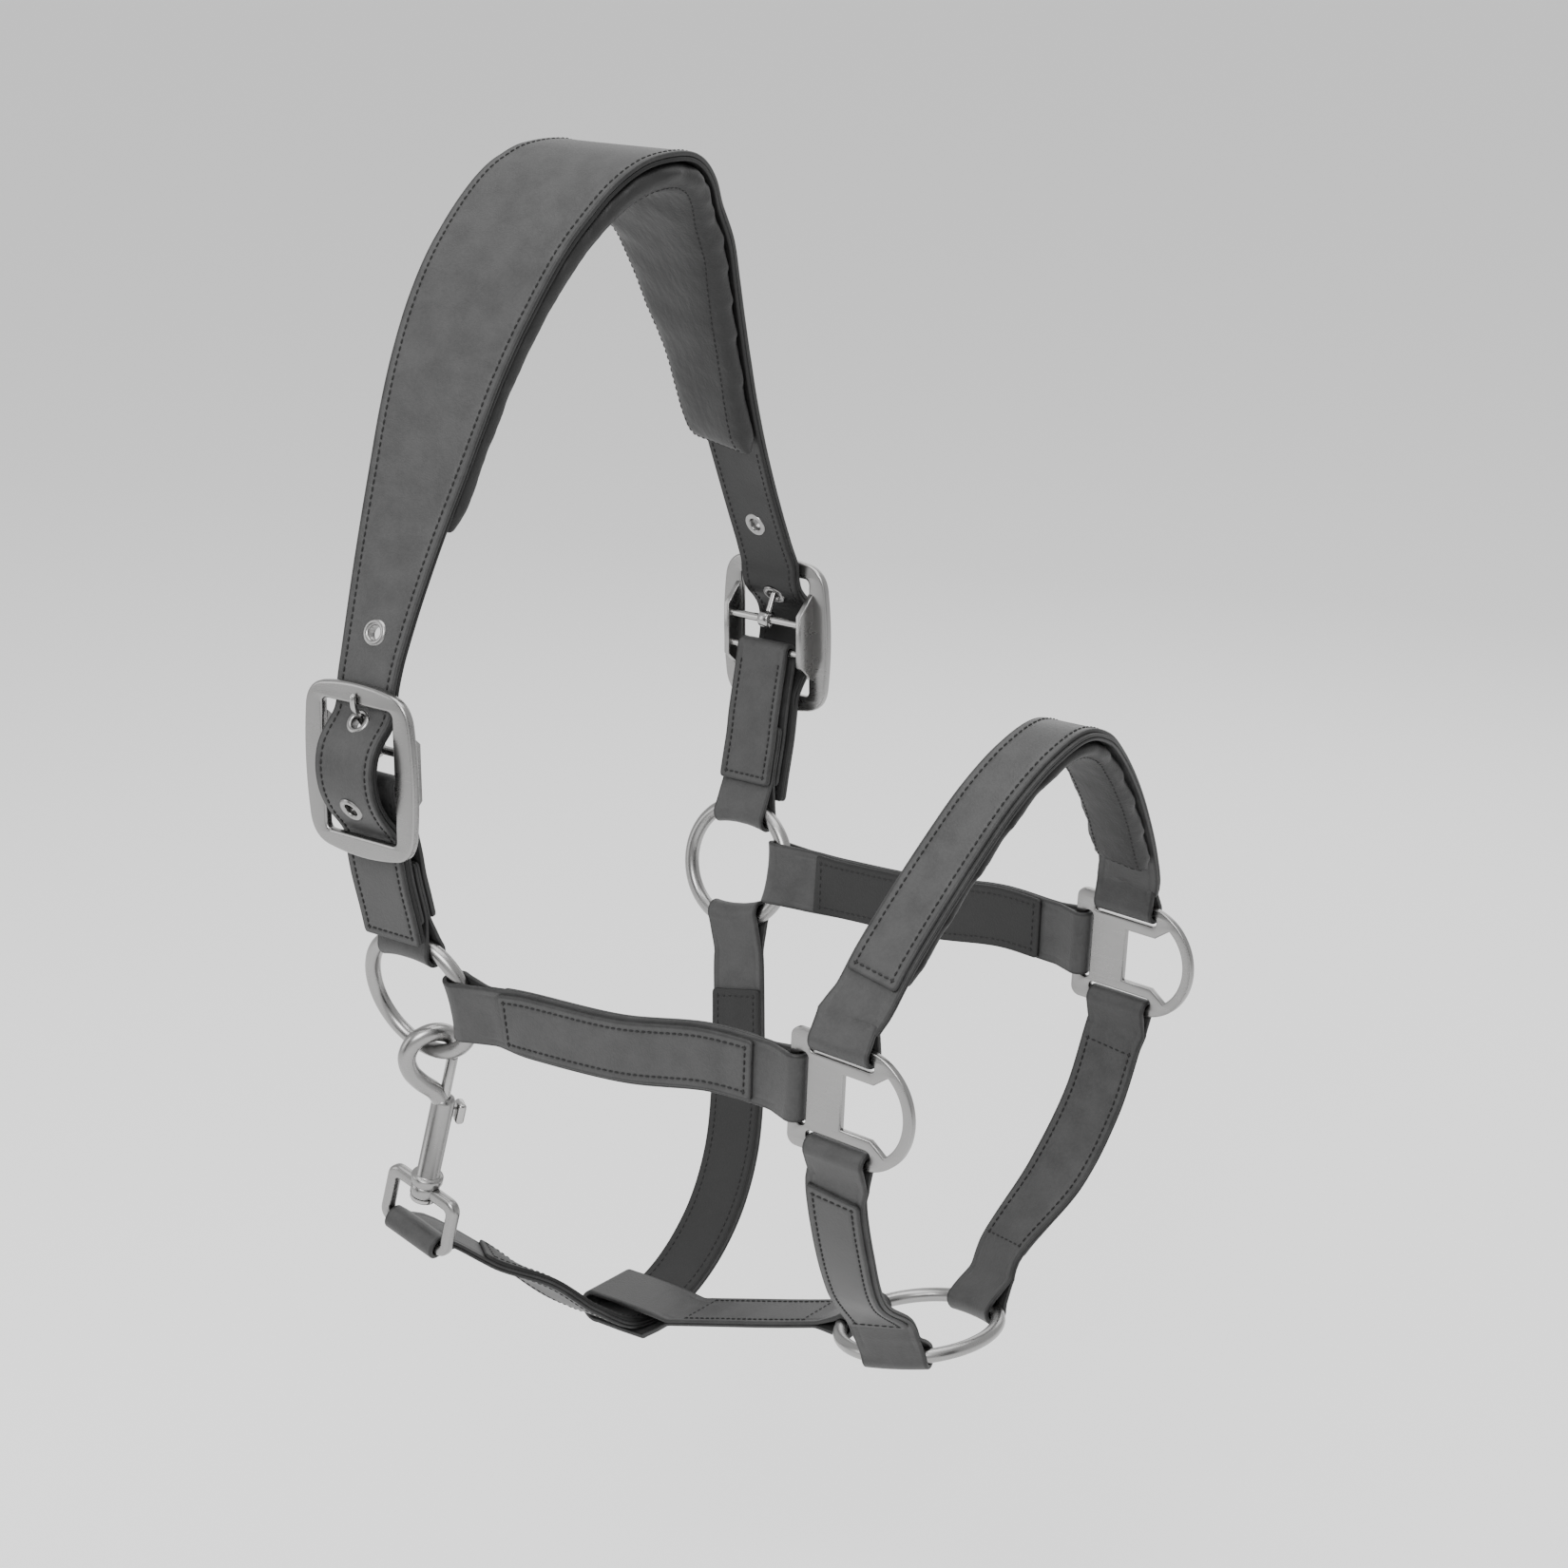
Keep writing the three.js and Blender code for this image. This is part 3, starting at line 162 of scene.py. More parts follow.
def spline(points, t, centripetal=True):
    """Points of a Catmull-Rom spline at parameters from 0 to 1, even over its segments."""
    p = np.vstack([2 * points[0] - points[1], points, 2 * points[-1] - points[-2]])
    segments = len(points) - 1
    place = np.clip(t, 0, 1) * segments
    k = np.minimum(place.astype(int), segments - 1)
    w = (place - k)[:, None]
    a, b, c, d = p[k], p[k + 1], p[k + 2], p[k + 3]
    if centripetal:
        da, db, dc = (np.sqrt(np.linalg.norm(e - s, axis=1))[:, None] for s, e in ((a, b), (b, c), (c, d)))
        m1 = ((b - a) / da - (c - a) / (da + db) + (c - b) / db) * db
        m2 = ((c - b) / db - (d - b) / (db + dc) + (d - c) / dc) * db
    else:
        m1 = (c - a) / 2
        m2 = (d - b) / 2
    return b + m1 * w + (3 * (c - b) - 2 * m1 - m2) * w**2 + (2 * (b - c) + m1 + m2) * w**3


def normalised(rows):
    return rows / np.linalg.norm(rows, axis=1)[:, None]


class Run:
    """The middle line of a strap with its width direction and its outward normal."""

    def __init__(self, points, across, outward):
        points = np.array(points, float)
        across = np.array(across, float)
        if across.ndim == 1:
            across = np.tile(across, (len(points), 1))
        t = np.linspace(0, 1, FINE)
        self.line = spline(points, t)
        self.tangents = normalised(np.gradient(self.line, axis=0))
        sides = spline(across, t, centripetal=False)
        sides -= self.tangents * np.sum(sides * self.tangents, axis=1)[:, None]
        self.sides = normalised(sides)
        self.normals = np.cross(self.sides, self.tangents)
        if self.normals[0] @ outward < 0:
            self.normals = -self.normals
        steps = np.linalg.norm(np.diff(self.line, axis=0), axis=1)
        self.reached = np.concatenate([[0], np.cumsum(steps)])
        self.length = self.reached[-1]

    def pick(self, rows, distances):
        return np.stack([np.interp(distances, self.reached, rows[:, i]) for i in range(3)], 1)

    def stations(self, distances):
        """Place, width direction and normal at distances along the run."""
        return (
            self.pick(self.line, distances),
            normalised(self.pick(self.sides, distances)),
            normalised(self.pick(self.normals, distances)),
        )

    def place(self, distances, across, out):
        at, side, normal = self.stations(np.atleast_1d(np.array(distances, float)))
        return at + side * np.reshape(across, (-1, 1)) + normal * np.reshape(out, (-1, 1))


print("spline ready,", FINE, "samples a run")

# %% [markdown]
# ## Meshes from rings of points
# Every strap, bar and wire is a row of rings joined into a skin. One function turns the rings into a
# closed mesh, with flat caps where the row ends, and works out from the volume which way is outside.

# %% Meshes


def new_piece(name, points, faces, material=None, smooth_angle=40):
    """A mesh object from points in millimetres."""
    mesh = bpy.data.meshes.new(name)
    mesh.from_pydata((np.asarray(points, float) * MM).tolist(), [], [list(f) for f in faces])
    mesh.validate()
    fix_normals(mesh)
    mesh.polygons.foreach_set("use_smooth", [True] * len(mesh.polygons))
    mesh.set_sharp_from_angle(angle=math.radians(smooth_angle))
    made = bpy.data.objects.new(name, mesh)
    bpy.context.scene.collection.objects.link(made)
    if material:
        mesh.materials.append(material)
    return made


def fix_normals(mesh):
    form = bmesh.new()
    form.from_mesh(mesh)
    bmesh.ops.recalc_face_normals(form, faces=form.faces)
    form.to_mesh(mesh)
    form.free()


def skin(rings, closed=False):
    """Points and faces of a skin over rings with the same number of points each."""
    rows, count = len(rings), len(rings[0])
    points = np.concatenate(rings)
    faces = []
    for i in range(rows if closed else rows - 1):
        a, b = i * count, ((i + 1) % rows) * count
        for j in range(count):
            k = (j + 1) % count
            faces.append((a + j, a + k, b + k, b + j))
    if not closed:
        faces.append(tuple(range(count - 1, -1, -1)))
        faces.append(tuple(range((rows - 1) * count, rows * count)))
    return points, faces


def gathered(name, parts, material, smooth_angle=40):
    """One object from several (points, faces) pairs."""
    points, faces, start = [], [], 0
    for part_points, part_faces in parts:
        points.append(part_points)
        faces += [tuple(start + i for i in f) for f in part_faces]
        start += len(part_points)
    return new_piece(name, np.concatenate(points), faces, material, smooth_angle)


def set_values(piece, name, values):
    """A number on each vertex, which a material can read."""
    attribute = piece.data.attributes.new(name, "FLOAT", "POINT")
    attribute.data.foreach_set("value", np.asarray(values, np.float32))


def set_inset(piece, distances):
    """Keeps each vertex's distance from the strap's edge, in millimetres."""
    set_values(piece, "inset", distances)


print("mesh helpers ready")

# %% [markdown]
# ## Shader maths as plain sums
# A procedural material is a formula over noise patterns. A small wrapper lets the formula be written with
# + and *, and makes one Math node for each sign.

# %% A socket that can be added and multiplied


class Value:
    """A float output of a node tree, with arithmetic."""

    def __init__(self, shop, socket):
        self.shop = shop
        self.socket = socket

    def math(self, operation, *others, clamp=False):
        node = self.shop.tree.nodes.new("ShaderNodeMath")
        node.operation = operation
        node.use_clamp = clamp
        for place, other in enumerate((self, *others)):
            self.shop.feed(node.inputs[place], other)
        return Value(self.shop, node.outputs[0])

    def __add__(self, other):
        return self.math("ADD", other)

    def __mul__(self, other):
        return self.math("MULTIPLY", other)

    def __sub__(self, other):
        return self.math("SUBTRACT", other)

    def __rsub__(self, other):
        return (self * -1.0) + other

    __radd__ = __add__
    __rmul__ = __mul__

    def between(self, low, high):
        """0 below low, 1 above high and smooth in between."""
        return self.shop.node(
            "ShaderNodeMapRange", {"interpolation_type": "SMOOTHSTEP"},
            {"Value": self, "From Min": low, "From Max": high}, "Result",
        )


class Workshop:
    """One material's node tree."""

    def __init__(self, name, **constants):
        self.material = bpy.data.materials.new(name)
        self.material.use_nodes = True
        self.tree = self.material.node_tree
        self.shader = self.tree.nodes["Principled BSDF"]
        for socket, value in constants.items():
            self.shader.inputs[socket.replace("_", " ")].default_value = value

    def feed(self, socket, value):
        if isinstance(value, Value):
            self.tree.links.new(value.socket, socket)
        elif isinstance(value, bpy.types.NodeSocket):
            self.tree.links.new(value, socket)
        else:
            socket.default_value = value

    def node(self, kind, settings=None, inputs=None, output=0):
        """Any node: its type, its settings, then its sockets."""
        made = self.tree.nodes.new(kind)
        for name, value in (settings or {}).items():
            setattr(made, name, value)
        for name, value in (inputs or {}).items():
            self.feed(made.inputs[name], value)
        return Value(self, made.outputs[output])

    def place(self, stretch=(1, 1, 1)):
        """Object coordinates, stretched."""
        here = self.node("ShaderNodeTexCoord", output="Object")
        return self.node("ShaderNodeMapping", {}, {"Vector": here, "Scale": stretch})

    def noise(self, per_metre, detail=3.0, stretch=(1, 1, 1)):
        inputs = {"Vector": self.place(stretch), "Scale": per_metre, "Detail": detail}
        return self.node("ShaderNodeTexNoise", {}, inputs)

    def cells(self, per_metre):
        inputs = {"Vector": self.place(), "Scale": per_metre}
        return self.node("ShaderNodeTexVoronoi", {"feature": "F1"}, inputs, "Distance")

    def attribute(self, name):
        return self.node("ShaderNodeAttribute", {"attribute_name": name}, {}, "Fac")

    def colour(self, factor, dark, light):
        made = self.tree.nodes.new("ShaderNodeMix")
        made.data_type = "RGBA"
        self.feed(made.inputs[0], factor)
        made.inputs[6].default_value = dark
        made.inputs[7].default_value = light
        return Value(self, made.outputs[2])

    def bump(self, height, depth_mm, strength=1.0):
        inputs = {"Height": height, "Distance": depth_mm * MM, "Strength": strength}
        self.feed(self.shader.inputs["Normal"], self.node("ShaderNodeBump", {}, inputs, "Normal"))

    def set(self, **values):
        for name, value in values.items():
            self.feed(self.shader.inputs[name.replace("_", " ")], value)
        return self.material


def grey(value, warm=0.0):
    return (value * (1 + warm), value, value * (1 - warm), 1)


print("shader workshop ready")

# %% [markdown]
# ## Leather
# Bridle leather is drum dyed and waxed: a smooth satin face with fine pores, small cloudy patches where
# the wax lies thicker, and burnished darker edges. Pores are cells about half a millimetre wide in the
# bump. Each strap's mesh keeps its distance from the edge, so the burnish follows the strap.

# %% Leather materials


def leather_material(name, dark, light, roughness, grain=0.14, creases=0.0):
    shop = Workshop(name, IOR=1.45, Specular_IOR_Level=0.36)
    patches = shop.noise(95, 5.0).between(0.25, 0.78)
    pores = shop.cells(1150)
    fibres = shop.noise(700, 3.0)
    edge = shop.attribute("inset").between(0.2, 1.6)
    tone = patches * 0.25 + fibres * 0.35 + edge * 0.4
    shop.set(Base_Color=shop.colour(tone, grey(dark), grey(light)))
    shop.set(Roughness=roughness + (patches * 0.08) - (edge * 0.03) + fibres * 0.08)
    height = pores * 0.5 + fibres * 0.5
    if creases:
        folds = shop.noise(150, 2.0, (1.6, 0.55, 0.9))
        height = height + folds * creases
    shop.bump(height, grain)
    return shop.material


leather = leather_material("leather", 0.010, 0.060, 0.45)
panel_leather = leather_material("panel_leather", 0.011, 0.060, 0.44)
lining = leather_material("lining_leather", 0.006, 0.020, 0.50)
pad_leather = leather_material("pad_leather", 0.006, 0.022, 0.48, 0.16, 3.0)


def thread_material():
    """Waxed cord: a very fine noise stands for its twisted strands."""
    shop = Workshop("thread", IOR=1.45)
    strands = shop.noise(2600, 1.0)
    shop.set(Base_Color=shop.colour(strands, grey(0.003), grey(0.010)), Roughness=0.7)
    shop.bump(strands, 0.06)
    return shop.material


thread = thread_material()


def steel_material(name, light, roughness):
    """Satin stainless steel: fine brushing in one direction varies the shine a little."""
    shop = Workshop(name, Metallic=1.0)
    brushing = shop.noise(700, 3.0, (0.12, 1.0, 1.0))
    smears = shop.noise(45, 2.0)
    shop.set(Base_Color=shop.colour(smears, grey(light * 0.9, 0.01), grey(light, 0.01)))
    shop.set(Roughness=brushing * 0.10 + smears * 0.07 + (roughness - 0.08))
    shop.bump(brushing, 0.012)
    return shop.material


steel = steel_material("satin_steel", 0.29, 0.28)
rod_steel = steel_material("rod_steel", 0.38, 0.22)
coil_steel = steel_material("coil_steel", 0.34, 0.34)
print("materials", [m.name for m in bpy.data.materials][-7:])

# %% [markdown]
# ## A strap with soft edges
# A cut strap has rounded, burnished edges, and the thread pulls the face down along the stitch line. The
# section below is a rounded rectangle whose columns crowd round the stitch line, so the groove is real.

# %% A strap's section
STITCH_INSET = 3.5
GROOVE_DEPTH = 0.28
GROOVE_HALF_WIDTH = 0.65
EDGE_ROUND = 0.7
CUT_CORNER = 2.5
COLUMN_INSETS = (1.6, 2.6, 3.05, 3.5, 3.95, 4.4, 5.6, 8.5, 11.5)
END_STEPS = (0.0, 0.12, 0.35, 0.7, 1.2, 1.9, 2.6, 3.05, 3.5, 3.95, 4.5, 5.4)
ARC_POINTS = 5
STATION_STEP = 1.5


def rounded_fall(distance, radius):
    """How far a quarter circle has fallen at a distance from its start."""
    left = np.clip(radius - distance, 0, radius)
    return radius - np.sqrt(radius**2 - left**2)


def groove(inset):
    return GROOVE_DEPTH * np.exp(-(((inset - STITCH_INSET) / GROOVE_HALF_WIDTH) ** 2))


def section(half, low, high, end_gap, sewn):
    """(across, out, inset) rows round a strap's section, at end_gap from a cut end."""
    edge = min(EDGE_ROUND, (high - low) * 0.48)
    sink = min(rounded_fall(end_gap, edge), (high - low) * 0.47)
    low, high = low + sink, high - sink
    half = half - rounded_fall(end_gap, CUT_CORNER) * 0.6
    edge = min(edge, (high - low) * 0.49)
    rows = []
    insets = [
        min(i, half * (0.12 + 0.07 * n)) if i > half * 0.95 else i
        for n, i in enumerate(COLUMN_INSETS)
    ]
    across = [-(half - i) for i in insets] + [half - i for i in reversed(insets)]
    for a in across:
        inset = min(half - abs(a), end_gap)
        rows.append((a, high - (groove(inset) if sewn else 0.0), inset))
    for corner, start in (((half - edge, high - edge), 90), ((half - edge, low + edge), 0)):
        for k in range(ARC_POINTS):
            turn = math.radians(start - 90 * k / (ARC_POINTS - 1))
            rows.append((corner[0] + edge * math.cos(turn), corner[1] + edge * math.sin(turn), 0.0))
    rows += [(a, low, half - abs(a)) for a in reversed(across)]
    for corner, start in (((-half + edge, low + edge), 270), ((-half + edge, high - edge), 180)):
        for k in range(ARC_POINTS):
            turn = math.radians(start - 90 * k / (ARC_POINTS - 1))
            rows.append((corner[0] + edge * math.cos(turn), corner[1] + edge * math.sin(turn), 0.0))
    return np.array(rows)


def distances_along(start, stop, cut_start=True, cut_stop=True):
    inner = np.arange(start + 6, stop - 6, STATION_STEP)
    first = [start + s for s in END_STEPS] if cut_start else [start, start + 3]
    last = [stop - s for s in reversed(END_STEPS)] if cut_stop else [stop - 3, stop]
    return np.array([*first, *inner, *last])


def flat_strap(name, run, start, stop, width, low, high, material):
    """One cut layer of leather lying along a run."""
    distances = distances_along(start, stop)
    at, side, normal = run.stations(distances)
    rings, insets = [], []
    for i, d in enumerate(distances):
        half = (width(d) if callable(width) else width) / 2
        rows = section(half, low, high, min(d - start, stop - d), True)
        rings.append(at[i] + side[i] * rows[:, :1] + normal[i] * rows[:, 1:2])
        insets.append(rows[:, 2])
    piece = new_piece(name, *skin(rings), material)
    set_inset(piece, np.concatenate(insets))
    return piece


print(len(section(14.5, -1, 1, 9, True)), "points a section")

# %% [markdown]
# ## A strap folded round a ring
# A strap holds a ring because it turns round the wire and is sewn back on itself. The wire of a ring is
# curved, so the fold is curved too: each column of the strap moves back with the wire. The strap below is
# one band that runs out along the front, round the wire and back along the rear.

# %% The folded band
LAYER = 1.46
LAYER_OUT = LAYER / 2 + 0.02
FOLDED_FACE = LAYER + 0.02
FOLD_THICK = 2.1
FOLD_STRAIGHT = 0.62
NO_END = 99


class Fold:
    """A bar or a ring's wire at the end of a strap."""

    def __init__(self, wire, ring_radius=None, reach=None, gap=GAP, stretch=None):
        self.middle = wire + gap + FOLD_THICK / 2
        self.ring_radius = ring_radius
        self.reach = reach
        self.stretch = stretch
        self.lead = 3.3 * self.middle

    def bend(self, across, half):
        """How far the fold moves back: stiff leather is nearly straight over the curved wire."""
        if self.ring_radius is None:
            return 0.0 * across
        fall = self.ring_radius - np.sqrt(self.ring_radius**2 - across**2)
        most = self.ring_radius - math.sqrt(self.ring_radius**2 - half**2)
        return fall * (1 - FOLD_STRAIGHT) + most * FOLD_STRAIGHT

    def profile(self, stretch):
        """(away, out) points round the wire, from the front of the strap to its rear."""
        r = self.middle
        half = LAYER_OUT
        turn = np.radians(np.linspace(118, -118, 25))
        arc = np.stack([r * np.cos(turn), r * np.sin(turn)], 1)
        arc += np.where(np.abs(turn) < np.pi / 2, 1, 0)[:, None] * np.array(stretch)
        front = np.array([[-self.lead, half], [-self.lead * 0.8, half + 0.1], [-self.lead * 0.5, r * 0.5]])
        rear = (front * (1, -1))[::-1]
        knots = np.concatenate([front, arc, rear])
        flat = np.concatenate([knots, np.zeros((len(knots), 1))], 1)
        points = spline(flat, np.linspace(0, 1, 61))[:, :2]
        weight = np.clip((points[:, 0] + self.lead) / (self.lead - r * 0.5), 0, 1)
        return points, weight * weight * (3 - 2 * weight)


def folded_strap(name, run, folds, material):
    """A band with a fold at the end and, unless it is cut there, at the start."""
    rows = []

    def leg(out, forward):
        start = folds[0].lead if folds[0] else 0.0
        stop = run.length - folds[1].lead
        distances = distances_along(start, stop, folds[0] is None, False)
        gaps = [d - start if folds[0] is None else NO_END for d in distances]
        at, side, normal = run.stations(distances)
        made = [
            (at[i] + normal[i] * out, side[i], np.sign(out) * normal[i], None, 0.0, LAYER, gaps[i])
            for i in range(len(distances))
        ]
        rows.extend(made if forward else made[::-1])

    def turn(end):
        fold = folds[end]
        at, side, normal = (v[0] for v in run.stations([run.length if end else 0.0]))
        near = run.stations([run.length - 0.5 if end else 0.5])[0][0]
        away = unit(at - near)
        stretch = (fold.stretch @ away, fold.stretch @ normal) if fold.stretch is not None else (0, 0)
        points, weight = fold.profile(stretch)
        slope = np.gradient(points, axis=0)
        if not end:
            points, weight, slope = points[::-1], weight[::-1], slope[::-1]
        for (x, y), w, (dx, dy) in list(zip(points, weight, slope))[1:-1]:
            facing = unit(away * -dy + normal * dx)
            thick = LAYER + (FOLD_THICK - LAYER) * w
            rows.append((at + away * x + normal * y, side, facing, fold, w, thick, NO_END))

    leg(LAYER_OUT, True)
    turn(1)
    leg(-LAYER_OUT, False)
    if folds[0]:
        turn(0)
    rings, insets = [], []
    for centre, side, facing, fold, w, thick, gap in rows:
        shape = section(STRAP_WIDTH / 2, -thick / 2, thick / 2, gap, w < 0.5)
        ring = centre + side * shape[:, :1] + facing * shape[:, 1:2]
        if fold and fold.reach is not None:
            ring = ring + unit(fold.reach) * (fold.bend(shape[:, 0], STRAP_WIDTH / 2) * w)[:, None]
        rings.append(ring)
        insets.append(shape[:, 2])
    piece = new_piece(name, *skin(rings, closed=bool(folds[0])), material)
    set_inset(piece, np.concatenate(insets))
    return piece


print("folds ready")

# %% [markdown]
# ## Stitches
# Saddle stitches are short, thick and even, about eight to the inch. Each row is a line of points from
# the strap's run. Geometry Nodes walks along every row, places one stitch at each step, turned along the
# row, and joins them into one plain mesh.

# %% The stitch tree
STITCH_PITCH = 3.1
STITCH_LENGTH = 2.3
STITCH_RADIUS = 0.42


def make_stitch_tree():
    tree = bpy.data.node_groups.new("stitch_rows", "GeometryNodeTree")
    face = tree.interface
    face.new_socket("Geometry", in_out="INPUT", socket_type="NodeSocketGeometry")
    sockets = {
        name: face.new_socket(name, in_out="INPUT", socket_type=kind).identifier
        for name, kind in (
            ("Pitch", "NodeSocketFloat"), ("Length", "NodeSocketFloat"), ("Radius", "NodeSocketFloat"),
            ("Slant", "NodeSocketFloat"), ("Seed", "NodeSocketInt"), ("Thread", "NodeSocketMaterial"),
        )
    }
    face.new_socket("Geometry", in_out="OUTPUT", socket_type="NodeSocketGeometry")
    nodes, links = tree.nodes, tree.links
    start, end = nodes.new("NodeGroupInput"), nodes.new("NodeGroupOutput")
    to_curve = nodes.new("GeometryNodeMeshToCurve")
    resample = nodes.new("GeometryNodeResampleCurve")
    resample.mode = "LENGTH"
    tangent = nodes.new("GeometryNodeInputTangent")
    align = nodes.new("FunctionNodeAlignRotationToVector")
    align.axis = "Z"
    wobble = nodes.new("FunctionNodeRandomValue")
    wobble.data_type = "FLOAT_VECTOR"
    opposite = nodes.new("ShaderNodeMath")
    opposite.operation = "MULTIPLY"
    opposite.inputs[1].default_value = -1.0
    low, high = nodes.new("ShaderNodeCombineXYZ"), nodes.new("ShaderNodeCombineXYZ")
    turn = nodes.new("FunctionNodeRotateRotation")
    turn.rotation_space = "LOCAL"
    euler = nodes.new("FunctionNodeEulerToRotation")
    bead = nodes.new("GeometryNodeMeshUVSphere")
    bead.inputs["Segments"].default_value = 8
    bead.inputs["Rings"].default_value = 6
    shape = nodes.new("GeometryNodeTransform")
    halved = nodes.new("ShaderNodeMath")
    halved.operation = "MULTIPLY"
    halved.inputs[1].default_value = 0.5
    ratio = nodes.new("ShaderNodeMath")
    ratio.operation = "DIVIDE"
    stretch = nodes.new("ShaderNodeCombineXYZ")
    stretch.inputs[0].default_value = 1.0
    stretch.inputs[1].default_value = 1.0
    place = nodes.new("GeometryNodeInstanceOnPoints")
    realize = nodes.new("GeometryNodeRealizeInstances")
    paint = nodes.new("GeometryNodeSetMaterial")
    for a, b in (
        (start.outputs["Geometry"], to_curve.inputs["Mesh"]),
        (to_curve.outputs["Curve"], resample.inputs["Curve"]),
        (start.outputs["Pitch"], resample.inputs["Length"]),
        (resample.outputs["Curve"], place.inputs["Points"]),
        (tangent.outputs["Tangent"], align.inputs["Vector"]),
        (align.outputs["Rotation"], turn.inputs["Rotation"]),
        (start.outputs["Slant"], opposite.inputs[0]),
        (opposite.outputs[0], low.inputs[0]), (opposite.outputs[0], low.inputs[1]),
        (start.outputs["Slant"], high.inputs[0]), (start.outputs["Slant"], high.inputs[1]),
        (low.outputs[0], wobble.inputs["Min"]), (high.outputs[0], wobble.inputs["Max"]),
        (start.outputs["Seed"], wobble.inputs["Seed"]),
        (wobble.outputs["Value"], euler.inputs["Euler"]),
        (euler.outputs["Rotation"], turn.inputs["Rotate By"]),
        (turn.outputs["Rotation"], place.inputs["Rotation"]),
        (start.outputs["Radius"], bead.inputs["Radius"]),
        (bead.outputs["Mesh"], shape.inputs["Geometry"]),
        (start.outputs["Length"], halved.inputs[0]),
        (halved.outputs[0], ratio.inputs[0]), (start.outputs["Radius"], ratio.inputs[1]),
        (ratio.outputs[0], stretch.inputs[2]), (stretch.outputs[0], shape.inputs["Scale"]),
        (shape.outputs["Geometry"], place.inputs["Instance"]),
        (place.outputs["Instances"], realize.inputs["Geometry"]),
        (realize.outputs["Geometry"], paint.inputs["Geometry"]),
        (start.outputs["Thread"], paint.inputs["Material"]),
        (paint.outputs["Geometry"], end.inputs["Geometry"]),
    ):
        links.new(a, b)
    return tree, sockets


stitch_tree, stitch_sockets = make_stitch_tree()


def plain_mesh(guide, name):
    """The evaluated mesh of an object, as a new piece without modifiers."""
    bpy.context.view_layer.update()
    seen = guide.evaluated_get(bpy.context.evaluated_depsgraph_get())
    made = bpy.data.objects.new(name, bpy.data.meshes.new_from_object(seen))
    bpy.context.scene.collection.objects.link(made)
    bpy.data.objects.remove(guide)
    made.name = name
    return made


def stitches(name, rows, seed):
    """One mesh of stitches along rows of points, in millimetres."""
    points, edges, start = [], [], 0
    for row in rows:
        points.append(np.asarray(row) * MM)
        edges += [(start + i, start + i + 1) for i in range(len(row) - 1)]
        start += len(row)
    mesh = bpy.data.meshes.new(name + "_rows")
    mesh.from_pydata(np.concatenate(points).tolist(), edges, [])
    guide = bpy.data.objects.new(name + "_rows", mesh)
    bpy.context.scene.collection.objects.link(guide)
    sewing = guide.modifiers.new("stitches", "NODES")
    sewing.node_group = stitch_tree
    values = {
        "Pitch": STITCH_PITCH * MM, "Length": STITCH_LENGTH * MM, "Radius": STITCH_RADIUS * MM,
        "Slant": math.radians(5), "Seed": seed, "Thread": thread,
    }
    for socket, value in values.items():
        sewing[stitch_sockets[socket]] = value
    made = plain_mesh(guide, name)
    made.data.polygons.foreach_set("use_smooth", [True] * len(made.data.polygons))
    return made


def edge_rows(run, start, stop, width, out, ends=(True, True), inset=STITCH_INSET):
    """Rows along both edges of a layer, and across its ends."""
    distances = np.arange(start + inset, stop - inset + 0.01, 1.0)
    half = np.array([(width(d) if callable(width) else width) / 2 - inset for d in distances])
    rows = [run.place(distances, sign * half, out) for sign in (-1, 1)]
    for place, wanted in ((start + inset, ends[0]), (stop - inset, ends[1])):
        if wanted:
            h = (width(place) if callable(width) else width) / 2 - inset
            across = np.linspace(-h, h, 20)
            rows.append(run.place(np.full(20, place), across, out))
    return rows


STITCH_SINK = GROOVE_DEPTH - STITCH_RADIUS * 0.55
print("stitch tree has", len(stitch_tree.nodes), "nodes")

# %% [markdown]
# ## The headpiece
# One broad strap goes over the poll and narrows to a billet at each end. The billet goes through the
# buckle and its tail hangs in front of the cheek strap. An outer layer and a thinner backing are sewn
# together along both edges; the route is the one the CAD source uses.

# %% The headpiece's route and layers
BILLET_WEAVE = (
    (-5.3, 34), (-5, 29.5), (-3.3, 23.5), (-0.7, 20), (3.4, 16), (7, 11), (8.8, 4.5), (8.9, -1.5),
    (7.2, -9.5), (3, -17.5), (-2.2, -24), (-5.4, -29), (-6.3, -35.5),
)
TAIL = ((129.5, -270), (125.2, -287), (122.4, -299))
CREST = (
    (1, 0, 18.5, 0), (0, 14, 16.8, 0), (-3, 28, 10, 2), (-7, 42, -2, 5), (-9.5, 58.5, -20, 8),
    (-12.5, 71.5, -40.5, 11), (-14.5, 82, -61, 13), (-15.5, 91, -81, 15), (-16.5, 99, -101, 15),
    (-17.5, 107, -121, 13), (-18, 115, -141, 10), (-18, 122.5, -160, 6), (-17.5, 129.5, -178, 2),
)
TAPER_SHARE = 0.176
BILLET_TOP = LEATHER / 2 + BACKING / 2 + 0.15
OUTER_LOW = BILLET_TOP - LEATHER
BACKING_HIGH = OUTER_LOW - 0.3
BACKING_LOW = BACKING_HIGH - BACKING


def headpiece_half(side):
    crest = [vec(x, side * y, z) for x, y, z, _ in CREST]
    weave = [vec(HEAD_X, side * (FRAME_Y + out), BUCKLE_Z + up) for out, up in BILLET_WEAVE]
    tail = [vec(HEAD_X, side * y, z) for y, z in TAIL]
    turns = [math.radians(turn) for *_, turn in CREST] + [0.0] * (len(weave) + len(tail))
    return crest + weave + tail, [vec(math.cos(t), -side * math.sin(t), 0) for t in turns]


right_points, right_across = headpiece_half(-1)
left_points, left_across = headpiece_half(1)
headpiece_run = Run(right_points[::-1] + left_points[1:], right_across[::-1] + left_across[1:], -Y_AXIS)


